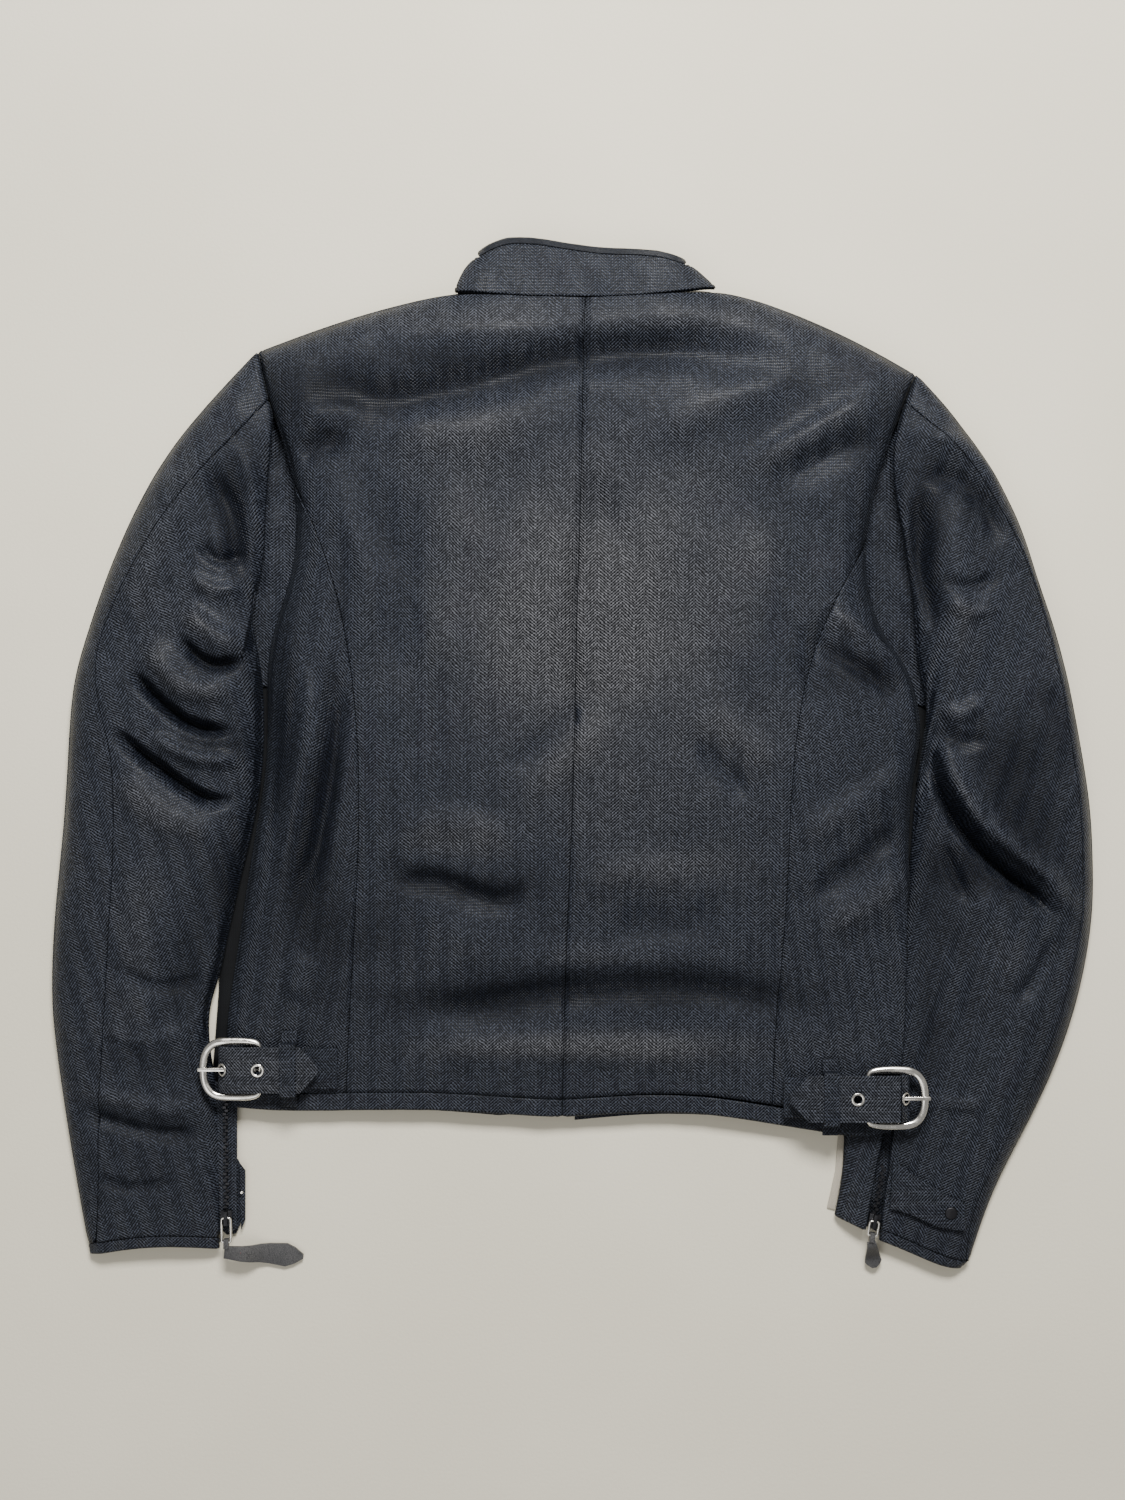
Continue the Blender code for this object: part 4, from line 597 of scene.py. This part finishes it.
def turn_edges(bm, node):
    """Carries each edge of a sheet down: a shallow groove at a seam, a rolled fold elsewhere."""
    rim = [e for e in bm.edges if e.is_boundary]
    outward, sewn = {}, {}
    for edge in rim:
        a, b = edge.verts
        middle = (a.co + b.co) / 2
        across = Vector((b.co.y - a.co.y, a.co.x - b.co.x, 0))
        inner = edge.link_faces[0].calc_center_median() - middle
        across = across if across.dot(inner) < 0 else -across
        for v in (a, b):
            outward[v] = outward.get(v, Vector()) + across
    for v in outward:
        outward[v].normalize()
        sewn[v] = sewn_share(node, v.co.xy)
    start = {v: v.co.copy() for v in outward}
    for seam, fold in zip(SEWN_EDGE, TURNED_EDGE):
        grown = bmesh.ops.extrude_edge_only(bm, edges=rim)["geom"]
        fresh = [g for g in grown if isinstance(g, bmesh.types.BMVert)]
        moved = {}
        for v in fresh:
            source = next(e.other_vert(v) for e in v.link_edges if e.other_vert(v) in outward)
            share, half_gap = sewn[source]
            out, down = (seam[k] * share + fold[k] * (1 - share) for k in (0, 1))
            closing = half_gap * (seam is SEWN_EDGE[-1])
            v.co = start[source] + outward[source] * (out + closing) + Vector((0, 0, down))
            moved[v] = source
        outward = {v: outward[s] for v, s in moved.items()}
        sewn = {v: sewn[s] for v, s in moved.items()}
        start = {v: start[s] for v, s in moved.items()}
        rim = [g for g in grown if isinstance(g, bmesh.types.BMEdge)]


SHEETS = []


def declare_sheet(piece, area, plan_area, rests_on, extras=()):
    """States the flat cut: its measured area, in its smallest rectangle or as a strip."""
    places = np.array([v.co.xy[:] for v in piece.data.vertices])
    places -= places.mean(0)
    _, axes = np.linalg.eigh(places.T @ places)
    spans = np.ptp(places @ axes, axis=0)
    grown = math.sqrt(area / plan_area)
    width, length = sorted(float(s) * grown for s in spans)
    if area < 0.5 * width * length:
        length = length * STRIP_ALLOWANCE
        width = max(area / length, LEAST_STRIP)
    SHEETS.append((piece.name, round(width, 3), round(length, 3), round(area, 4)))


def paint_light_and_fade(piece, folds=(), patches=(), face=0.0):
    """Stores the painted light and shade, with some fading, at every point of a finished piece, for its
    cloth to read. Its sides get painted shade.
    """
    spots = np.array([v.co[:] for v in piece.data.vertices])
    normals = np.array([v.normal[:] for v in piece.data.vertices])
    amounts = painted_light_and_fade_amounts(spots[:, :2], folds, patches) + face
    # Painted shade on every steep side of the piece
    amounts = np.where(normals[:, 2] < 0.55, np.minimum(amounts, -0.7), amounts)
    piece.data.attributes.new("painted_light_and_fade", "FLOAT", "POINT").data.foreach_set("value", amounts)


def cloth_piece(node, finish, folds=(), patches=(), levels=3, wall=SHELL_WALL, turned=True):
    """A cut cloth panel: the CAD sheet refined, draped into its folds, edges turned, given a wall."""
    piece = new_object(node + "_cloth", skin_of(node), finish)
    apply_modifier(piece, "SUBSURF", levels=levels, render_levels=levels, boundary_smooth="PRESERVE_CORNERS")
    mesh = piece.data
    spots = np.array([v.co[:] for v in mesh.vertices])
    base = spots[:, 2].copy()
    if len(folds):
        loose = smoothstep(FLAT_BELOW, LOOSE_ABOVE, base)
        spots[:, 2] += loose * (fold_heights(spots[:, :2], folds) + soft_noise(spots[:, :2], 3.0))
        spots[:, 2] = np.maximum(spots[:, 2], LOWEST_FOLD)
    mesh.vertices.foreach_set("co", spots.ravel())
    bm = bmesh.new()
    bm.from_mesh(mesh)
    plan_area = sum(f.calc_area() * abs(f.normal.z) for f in bm.faces)
    if turned:
        turn_edges(bm, node)
    area = sum(f.calc_area() for f in bm.faces)
    bm.to_mesh(mesh)
    bm.free()
    apply_modifier(piece, "SOLIDIFY", thickness=wall, offset=-1.0, use_even_offset=False)
    # Painted light and shade from the folds and patches, partly fading
    paint_light_and_fade(piece, folds, patches)
    mesh.shade_smooth()
    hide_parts(node)
    return piece, area, plan_area


def hang(piece):
    """Bakes a sleeve piece's placement into its mesh."""
    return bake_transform(piece)


def merged_copy(node, name, finish, swept=False):
    bm = bmesh.new()
    bm.from_mesh(frame["nodes"][node].data)
    bmesh.ops.remove_doubles(bm, verts=bm.verts, dist=2e-5)
    if swept:
        bmesh.ops.join_triangles(bm, faces=bm.faces, angle_face_threshold=0.7, angle_shape_threshold=1.2)
    else:
        bmesh.ops.dissolve_limit(bm, angle_limit=0.02, verts=bm.verts, edges=bm.edges)
    piece = new_object(name, bm, finish)
    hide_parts(node)
    return piece


def body_of_node(node):
    return next(body for body, members in frame["record"]["behaviour"]["bodies"].items() if node in members)


def worked_metal(node, finish, bevel=0.00025, round_levels=0, swell=0.0001):
    """A metal part with its edges eased, or its swept section rounded, swollen first to keep its size."""
    piece = merged_copy(node, node + "_metal", finish, swept=round_levels > 0)
    if round_levels:
        apply_modifier(piece, "DISPLACE", strength=swell, mid_level=0.0)
        apply_modifier(piece, "SUBSURF", levels=round_levels, render_levels=round_levels)
    else:
        apply_modifier(piece, "BEVEL", width=bevel, segments=2, limit_method="ANGLE", angle_limit=0.6)
    piece.data.shade_smooth()
    piece.data.set_sharp_from_angle(angle=math.radians(50))
    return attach(piece, body_of_node(node))


def webbing(node, finish, bevel=0.0006, cuts=0.0):
    """A sewn strip: the CAD strip with soft edges, cut across at even steps when asked."""
    piece = merged_copy(node, node + "_sewn", finish)
    bm = bmesh.new()
    bm.from_mesh(piece.data)
    if cuts:
        low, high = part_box(node)
        place = low.x + cuts
        while place < high.x:
            bmesh.ops.bisect_plane(bm, geom=list(bm.verts) + list(bm.edges) + list(bm.faces),
                                   plane_co=(place, 0, 0), plane_no=(1, 0, 0))
            place += cuts
    bm.to_mesh(piece.data)
    bm.free()
    apply_modifier(piece, "BEVEL", width=bevel, segments=3, limit_method="ANGLE", angle_limit=0.7)
    piece.data.shade_smooth()
    piece.data.set_sharp_from_angle(angle=math.radians(60))
    return piece


# ---- stitches and teeth --------------------------------------------------------------------------
def stitch_shape(length, thick):
    """One stitch lying along X: a plump thread that dives into the cloth at both ends."""
    bpy.ops.mesh.primitive_cube_add(size=1.0)
    made = bpy.context.object
    made.scale = (length, thick, thick)
    bpy.ops.object.transform_apply(location=False, rotation=False, scale=True)
    apply_modifier(made, "BEVEL", width=thick * 0.32, segments=1)
    spots = np.array([v.co[:] for v in made.data.vertices])
    spots[:, 2] -= thick * 0.7 * (np.abs(spots[:, 0]) / (length / 2)) ** 2
    faces = [tuple(p.vertices) for p in made.data.polygons]
    bpy.data.objects.remove(made)
    bpy.ops.object.select_all(action="DESELECT")
    return spots, faces


STITCH = stitch_shape(0.0023, 0.00055)


def repeated(name, shape, frames, finish):
    """Copies of one small shape at many places, as one mesh. Each frame is a 4x4 matrix."""
    spots, faces = shape
    bodies, walls = [], []
    for k, matrix in enumerate(frames):
        turn = np.array(matrix.to_3x3())
        bodies.append(spots @ turn.T + np.array(matrix.translation))
        walls += [tuple(v + k * len(spots) for v in face) for face in faces]
    mesh = bpy.data.meshes.new(name)
    mesh.from_pydata(np.concatenate(bodies).tolist(), [], walls)
    mesh.materials.append(finish)
    mesh.shade_smooth()
    made = bpy.data.objects.new(name, mesh)
    bpy.context.collection.objects.link(made)
    return made


def at_distances(line, pitch):
    """Points and directions every pitch along a polyline."""
    found, carried = [], pitch / 2
    for a, b in zip(line, line[1:]):
        step = (b - a).length
        while carried <= step and step > 1e-9:
            found.append((a.lerp(b, carried / step), (b - a).normalized()))
            carried += pitch
        carried -= step
    return found


def sewing_frames(lines, cloth, pitch=STITCH_PITCH, sink=0.0001):
    """Where stitches lie on the cloth along plan lines."""
    frames = []
    for line in lines:
        for spot, way in at_distances([Vector(p).to_2d() for p in line], pitch):
            hit, normal, _, _ = cloth.ray_cast(Vector((*spot, 0.2)), Vector((0, 0, -1)))
            if hit is None or normal.z < 0.25:
                continue
            along = Vector((*way, 0))
            along = (along - normal * along.dot(normal)).normalized()
            side = normal.cross(along)
            turn = Matrix((along, side, normal)).transposed().to_4x4()
            frames.append(Matrix.Translation(hit - normal * sink) @ turn)
    return frames


def surface_of(pieces):
    """One searchable surface of several finished pieces."""
    spots, faces = [], []
    for piece in pieces:
        first = len(spots)
        spots += [v.co.copy() for v in piece.data.vertices]
        faces += [[first + k for k in p.vertices] for p in piece.data.polygons]
    return BVHTree.FromPolygons(spots, faces)


def seam_line(node, other, vertical=True):
    """The smooth plan line where two CAD sheets meet."""
    near = [p for p in RIMS[node] if RIM_TREES[other].find((*p, 0))[2] < 0.0013]
    near.sort(key=lambda p: -p.y if vertical else p.x)
    kept = [near[0]]
    for p in near[1:]:
        if (p - kept[-1]).length > 0.012:
            kept.append(p)
    return dense(kept, 6)


def beside(line, offset):
    """A plan line moved sideways, to its left for a positive offset."""
    moved = []
    for k, p in enumerate(line):
        way = (line[min(k + 1, len(line) - 1)] - line[max(k - 1, 0)]).normalized()
        moved.append(p + Vector((-way.y, way.x)) * offset)
    return moved


# ---- the shell -----------------------------------------------------------------------------------
made = {}
areas = {}
for node in SHELL_NODES:
    arm = next((w for w in SLEEVES if node.endswith(w) and ("sleeve" in node or "cuff" in node)), None)
    if "band" in node or "binding" in node:
        finish = BINDING if "binding" in node else CLOTHS[0]
    elif arm:
        finish = CLOTHS[-14 if arm == "left" else 16]
    elif node.startswith("side_back"):
        finish = CLOTHS[9 if node.endswith("left") else -9]
    else:
        finish = CLOTHS[0]
    made[node], *areas[node] = cloth_piece(
        node, finish, ARM_FOLDS[arm] if arm else BACK_FOLDS, ARM_PAINTED_LIGHT_AND_FADE[arm] if arm else BACK_PAINTED_LIGHT_AND_FADE,
        levels=4 if node.startswith("sleeve_back") else 3)

for node in ("front_panel_left", "front_panel_right", "front_collar_left", "front_collar_right",
             "sleeve_under_panel_left", "sleeve_under_panel_right", "back_lining", "collar_lining"):
    inner = "lining" in node
    made[node], *areas[node] = cloth_piece(
        node, LINING if inner else CLOTHS[0], BACK_FOLDS if node == "back_lining" else (),
        levels=2, wall=LINING_WALL if inner else FRONT_WALL, turned=False)

for node, piece in made.items():
    arm = next((w for w in SLEEVES if node.endswith(w) and "sleeve" in node), None)
    if arm:
        hang(piece)
    elif "cuff" in node:
        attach(piece, "sleeve_" + node.rsplit("_", 1)[1])
    else:
        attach(piece, "jacket")
    if "binding" in node or "cuff_band" in node:
        continue
    extras = {"collar_shell": ["collar_binding"], "sleeve_back_panel_left": ["cuff_band_left"],
              "sleeve_back_panel_right": ["cuff_band_right"]}.get(node, [])
    declare_sheet(piece, *areas[node], rests_on=["front_panel_left" if "front" not in node else "floor"],
                  extras=[made[e] for e in extras])


def padded_piece(node, folds):
    """A foam protector in its cloth cover: crowned, with softened edges."""
    piece = merged_copy(node, node + "_pad", FOAM, swept=True)
    apply_modifier(piece, "SUBSURF", levels=2, render_levels=2)
    mesh = piece.data
    spots = np.array([v.co[:] for v in mesh.vertices])
    spots[:, 2] += fold_heights(spots[:, :2], folds)
    mesh.vertices.foreach_set("co", spots.ravel())
    mesh.shade_smooth()
    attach(piece, body_of_node(node))
    return piece


padded_piece("back_protector", BACK_FOLDS)
for word in SLEEVES:
    padded_piece(f"elbow_protector_{word}", ARM_FOLDS[word])
    padded_piece(f"shoulder_protector_{word}", ARM_FOLDS[word])


def sheet_of(rows):
    """A sheet through rows of points, facing up, with its area and its area in plan."""
    bm = bmesh.new()
    rows = [[bm.verts.new(p) for p in row] for row in rows]
    for upper, lower in zip(rows, rows[1:]):
        for k in range(len(upper) - 1):
            bm.faces.new((upper[k], upper[k + 1], lower[k + 1], lower[k]))
    bmesh.ops.recalc_face_normals(bm, faces=bm.faces)
    bm.normal_update()
    if sum(f.normal.z for f in bm.faces) < 0:
        bmesh.ops.reverse_faces(bm, faces=bm.faces)
    return bm, sum(f.calc_area() for f in bm.faces), sum(f.calc_area() * abs(f.normal.z) for f in bm.faces)


def between(lines, levels, waviness, waves):
    """Rows of points from the first plan line across to the second, at the given levels, faintly wavy."""
    return [[(*a.lerp(b, k / (len(levels) - 1)), z + waviness * math.sin(a.y * waves + k))
             for k, z in enumerate(levels)] for a, b in zip(*lines)]


def underarm_gusset(word):
    """The sunk gusset that closes the armhole between sleeve and side."""
    body_side, arm_side = (dense([Vector(p) * MM for p in line], 6) for line in UNDERARM[word])
    bm, area, plan_area = sheet_of(between((body_side, arm_side), GUSSET_LEVELS, 0.0006, 190))
    piece = new_object(f"underarm_gusset_{word}", bm, CLOTHS[0])
    apply_modifier(piece, "SUBSURF", levels=2, render_levels=2, boundary_smooth="PRESERVE_CORNERS")
    apply_modifier(piece, "SOLIDIFY", thickness=GUSSET_WALL, offset=-1.0)
    piece.data.shade_smooth()
    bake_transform(piece)
    declare_sheet(piece, area, plan_area, ["front_panel_left"])


for word in SLEEVES:
    underarm_gusset(word)


def dark_strip(name, rows):
    """A strip of lining cloth that rides on the body."""
    bm, area, _ = sheet_of(rows)
    piece = new_object(name, bm, LINING)
    apply_modifier(piece, "SOLIDIFY", thickness=LINING_WALL, offset=-1.0)
    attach(piece, "jacket")
    declare_sheet(piece, area, area, ["front_panel_left"])
    return piece


def side_shade_strip(word):
    """The edge of the front layer between the body's side and the sleeve, flat and black as painted shade in
    the gap.
    """
    lines = [dense([Vector(p) * MM for p in line], 6) for line in SIDE_SHADE_STRIPS[word]]
    dark_strip(f"side_shade_strip_{word}", between(lines, [STRIP_LEVEL] * 5, 0.0003, 140)).data.shade_smooth()


for word in SLEEVES:
    side_shade_strip(word)


def neck_stay():
    """The tape behind the collar seam, which closes the slit at both of its ends."""
    seam = seam_line("collar_shell", "back_panel_left", vertical=False)
    seam += seam_line("collar_shell", "back_panel_right", vertical=False)
    seam.sort(key=lambda p: p.x)
    seam = [seam[0] + Vector((0.0025, 0))] + seam[1:-1:3] + [seam[-1] - Vector((0.0010, 0))]
    cloths = surface_of([made["collar_shell"], made["back_panel_left"], made["back_panel_right"]])
    rows = []
    for spot in seam:
        hits = [cloths.ray_cast(Vector((spot.x, spot.y + y, 0.2)), Vector((0, 0, -1)))[0]
                for y in (-0.004, 0.004)]
        level = min([hit.z for hit in hits if hit is not None] or [0.010]) - 0.0024
        rows.append([(spot.x, spot.y + y, level) for y in (-0.006, 0.0, 0.006)])
    dark_strip("neck_stay", rows)


neck_stay()


# ---- seams and topstitching ----------------------------------------------------------------------
def sew(name, lines, surface, finish=THREAD):
    return repeated(name, STITCH, sewing_frames(lines, surface), finish)


torso = surface_of([made[n] for n in SHELL_NODES if "sleeve" not in n and "cuff" not in n])
centre = seam_line("back_panel_left", "back_panel_right")
princess = {w: seam_line(f"back_panel_{w}", f"side_back_panel_{w}") for w in SLEEVES}
hem_seam = [seam_line(f"back_panel_{w}", f"hem_band_{w}", vertical=False) for w in SLEEVES]
hem_seam += [seam_line(f"side_back_panel_{w}", f"hem_band_{w}", vertical=False) for w in SLEEVES]
back_lines = [beside(centre, 0.0042)]
for word, side in (("left", 1), ("right", -1)):
    back_lines += [beside(princess[word], 0.0030 * side), beside(princess[word], 0.0145 * side)]
for line in hem_seam:
    back_lines += [beside(line, 0.0018), beside(line, -0.0022), beside(line, -0.0085)]
collar_seam = seam_line("collar_shell", "collar_binding", vertical=False)
back_lines += [beside(collar_seam, -0.0016)]
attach(sew("back_topstitching", back_lines, torso), "jacket")
for word, side in (("left", 1), ("right", -1)):
    arm = surface_of([made[f"sleeve_back_panel_{word}"], made[f"sleeve_outer_panel_{word}"],
                      made[f"cuff_band_{word}"]])
    overarm = seam_line(f"sleeve_back_panel_{word}", f"sleeve_outer_panel_{word}")
    cuff = seam_line(f"sleeve_back_panel_{word}", f"cuff_band_{word}", vertical=False)
    arm_lines = [beside(overarm, 0.0030 * side), beside(cuff, 0.0020)]
    hang(sew(f"sleeve_topstitching_{word}", arm_lines, arm))


# ---- straps, buckles and cuffs -------------------------------------------------------------------
def side_metals(word):
    worked_metal(f"buckle_frame_{word}", NICKEL, round_levels=2, swell=0.0006)
    worked_metal(f"buckle_prong_{word}", NICKEL)
    worked_metal(f"strap_eyelet_{word}", NICKEL, round_levels=1)
    worked_metal(f"prong_eyelet_{word}", NICKEL, round_levels=1)
    worked_metal(f"cuff_zip_slider_{word}", DARK_METAL)
    worked_metal(f"cuff_pull_ring_{word}", NICKEL, round_levels=2)
    worked_metal(f"cuff_snap_{word}", NICKEL if word == "left" else DARK_METAL, bevel=0.0004)


def waist_strap(word, side):
    """The strap with its chape and belt loop, and their topstitching."""
    strap = webbing(f"waist_strap_{word}", CLOTHS[90], cuts=0.003)
    low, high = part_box(f"waist_strap_{word}")
    tip, bend = (high.x, low.x) if side < 0 else (low.x, high.x)
    middle = (low.y + high.y) / 2
    half = STRAP_HALF - STRAP_INSET
    upper = [Vector((tip + side * 0.0035, middle)), Vector((tip + side * 0.0155, middle + half)),
             Vector((bend - side * 0.010, middle + half))]
    lower = [Vector((p.x, 2 * middle - p.y)) for p in upper]
    seams = sew(f"waist_strap_stitching_{word}", [upper, lower], surface_of([strap]))
    for piece in (strap, seams):
        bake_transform(piece)
    # Painted shade on the strap's sides, and a paler tone for the whole strap
    paint_light_and_fade(strap, face=0.30)

    tops = {}
    for part, face in (("buckle_chape", -0.15), ("belt_loop", 0.05)):
        piece = webbing(f"{part}_{word}", CLOTHS[90], bevel=0.0005)
        # Painted shade on the sides of the chape and belt loop, each with its own tone
        paint_light_and_fade(piece, face=face)
        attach(piece, "jacket")
        tops[part] = surface_of([piece])
    corners = [Vector((tip - side * x, middle + y)) for x in (0.001, 0.0125) for y in (-0.0115, 0.0115)]
    boxed = [corners[0], corners[1], corners[3], corners[2], corners[0]]
    crossed = [[corners[0], corners[3]], [corners[1], corners[2]]]
    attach(sew(f"chape_stitching_{word}", [boxed] + crossed, tops["buckle_chape"]), "jacket")


def cuff_trims(word):
    strap = webbing(f"cuff_strap_{word}", CLOTHS[90])
    # Painted shade on the cuff strap's sides, and a paler tone
    paint_light_and_fade(strap, face=0.12)
    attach(strap, f"cuff_tab_{word}")
    tab = webbing(f"cuff_pull_tab_{word}", TAB_LEATHER, bevel=0.0004)
    if word == "left":
        lines = [[Vector((x * MM, y * MM)) for x, y in line] for line in TAB_TACKS]
        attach(sew("cuff_pull_tab_tacks", lines, surface_of([tab]), RED_THREAD), "cuff_pull_left")
    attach(tab, f"cuff_pull_{word}")


for word, side in (("left", -1), ("right", 1)):
    side_metals(word)
    waist_strap(word, side)
    cuff_trims(word)


def slab(name, outline, low, high, finish, bevel=0.0004):
    """A flat cut piece: a plane shaped to its outline in millimetres, thickened and eased."""
    bpy.ops.mesh.primitive_circle_add(vertices=len(outline), radius=0.01, fill_type="NGON")
    piece = bpy.context.object
    piece.name = name
    bpy.ops.object.mode_set(mode="EDIT")
    bm = bmesh.from_edit_mesh(piece.data)
    bm.verts.ensure_lookup_table()
    for v, (x, y) in zip(bm.verts, outline):
        v.co = (x * MM, y * MM, low)
    bmesh.update_edit_mesh(piece.data)
    bpy.ops.mesh.select_all(action="SELECT")
    bpy.ops.mesh.extrude_region_move(TRANSFORM_OT_translate={"value": (0, 0, high - low)})
    bpy.ops.mesh.select_all(action="SELECT")
    bpy.ops.mesh.normals_make_consistent(inside=False)
    bpy.ops.object.mode_set(mode="OBJECT")
    piece.data.materials.append(finish)
    apply_modifier(piece, "BEVEL", width=bevel, segments=2, limit_method="ANGLE", angle_limit=0.7)
    piece.data.shade_smooth()
    piece.data.set_sharp_from_angle(angle=math.radians(50))
    bpy.ops.object.select_all(action="DESELECT")
    return piece


zip_tape = slab("cuff_zip_tape_left",
                ((-259, -236), (-242.8, -236), (-242.8, -341), (-246, -345), (-258.5, -345)),
                0.0058, 0.0069, CLOTHS[0])
root = slab("cuff_strap_root_left",
            ((-258, -296), (-243, -293), (-240, -299), (-240, -337),
             (-244, -347), (-251, -348), (-258, -340)),
            0.0012, 0.0030, CLOTHS[90])
for piece in (zip_tape, root):
    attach(piece, "sleeve_left")

facing = webbing("cuff_facing_right", FACING, bevel=0.0003)
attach(facing, "sleeve_right")

for node in ("front_zip_tape_left", "front_zip_tape_right"):
    piece = webbing(node, TAPE, bevel=0.0002)
    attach(piece, "jacket")
worked_metal("front_zip_slider", NICKEL)
worked_metal("front_zip_pull", NICKEL)


def tooth_shape(long, broad, high):
    """One zip tooth: a block with a raised nib."""
    bpy.ops.mesh.primitive_cube_add(size=1.0)
    tooth = bpy.context.object
    tooth.scale = (broad, long, high)
    bpy.ops.object.transform_apply(location=False, rotation=False, scale=True)
    bpy.ops.object.mode_set(mode="EDIT")
    bpy.ops.mesh.select_all(action="DESELECT")
    bm = bmesh.from_edit_mesh(tooth.data)
    for f in bm.faces:
        f.select = f.normal.x > 0.9
    bmesh.update_edit_mesh(tooth.data)
    bpy.ops.mesh.inset(thickness=min(long, high) * 0.18)
    bpy.ops.mesh.extrude_region_move(TRANSFORM_OT_translate={"value": (broad * 0.25, 0, 0)})
    bpy.ops.object.mode_set(mode="OBJECT")
    spots = np.array([v.co[:] for v in tooth.data.vertices])
    faces = [tuple(p.vertices) for p in tooth.data.polygons]
    bpy.data.objects.remove(tooth)
    bpy.ops.object.select_all(action="DESELECT")
    return spots, faces


def zip_teeth(node, start, end, finish, body, slot):
    """A closed chain: two rows of teeth that interlock along the CAD chain's middle."""
    low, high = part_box(node)
    level = (low.z + high.z) / 2
    thick = high.z - low.z
    width = 0.0052 if "front" in node else 0.0042
    start, end = Vector((*start, level)), Vector((*end, level))
    way = (end - start).normalized()
    side = Vector((-way.y, way.x, 0))
    frames = []
    for k in range(int((end - start).length / TOOTH_PITCH)):
        hand = 1 if k % 2 else -1
        across = side * hand
        turn = Matrix((-across, way * hand, Vector((0, 0, 1)))).transposed().to_4x4()
        spot = start + way * (k + 0.5) * TOOTH_PITCH + across * width * 0.19
        frames.append(Matrix.Translation(spot) @ turn)
    shape = tooth_shape(0.0017, width * 0.55, thick * 0.8)
    piece = repeated(node + "_teeth", shape, frames, finish)
    piece.data.shade_flat()
    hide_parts(node)
    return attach(piece, body)


def chain_ends(node):
    """The two end points of a CAD chain's centreline."""
    spots = np.array([v.co.xy[:] for v in frame["nodes"][node].data.vertices])
    middle = spots.mean(0)
    _, axes = np.linalg.eigh((spots - middle).T @ (spots - middle))
    reach = (spots - middle) @ axes[:, 1]
    return middle + axes[:, 1] * reach.max(), middle + axes[:, 1] * reach.min()


zip_teeth("front_zip_chain", *chain_ends("front_zip_chain"), NICKEL, "jacket", "nickel")
for word in SLEEVES:
    node = f"cuff_zip_chain_{word}"
    zip_teeth(node, *chain_ends(node), DARK_METAL, f"sleeve_{word}", "zip_tape")


# ---- floor, light and camera ---------------------------------------------------------------------
def lay_floor():
    bpy.ops.mesh.primitive_plane_add(size=6.0, location=(0, 0, 0))
    floor = bpy.context.object
    floor.name = "floor"
    made, tree, shader = new_material("pale_floor", 0.85)
    place, _ = placed(tree)
    cloud = grouped(tree, CLOUD, Vector=place, Size=0.30)["Value"]
    fine = put(tree, "TexNoise", Vector=place, Scale=420.0, Detail=4.0)
    tone = tinted(tree, cloud, (0.71, 0.665, 0.545), (0.75, 0.705, 0.585))
    tree.links.new(tone, shader.inputs["Base Color"])
    relief(tree, shader, fine.outputs["Fac"], 0.25, 0.0006)
    floor.data.materials.append(made)


def light(name, place, size, energy, colour):
    lamp = bpy.data.lights.new(name, "AREA")
    lamp.shape = "RECTANGLE"
    lamp.size, lamp.size_y = size
    lamp.energy = energy
    lamp.color = colour
    made = bpy.data.objects.new(name, lamp)
    made.location = place
    made.rotation_euler = (-Vector(place)).to_track_quat("-Z", "Y").to_euler()
    bpy.context.collection.objects.link(made)


def set_camera():
    camera = bpy.data.cameras.new("camera")
    camera.lens = 46.68
    camera.sensor_width = 36.0
    made = bpy.data.objects.new("camera", camera)
    made.location = (-0.0072, 0.0040, 1.415)
    bpy.context.collection.objects.link(made)
    bpy.context.scene.camera = made


lay_floor()
light("ceiling_light", (0.15, 1.30, 1.50), (0.8, 0.5), 78.0, (1.0, 0.985, 0.95))
light("room_fill", (-0.7, -1.2, 2.0), (1.6, 1.6), 16.0, (1.0, 0.99, 0.96))
set_camera()
world = bpy.data.worlds.new("studio")
world.use_nodes = True
world.node_tree.nodes["Background"].inputs["Color"].default_value = (1.0, 0.985, 0.955, 1.0)
world.node_tree.nodes["Background"].inputs["Strength"].default_value = 0.30
bpy.context.scene.world = world

for row in SHEETS:
    print("SHEET", *row)
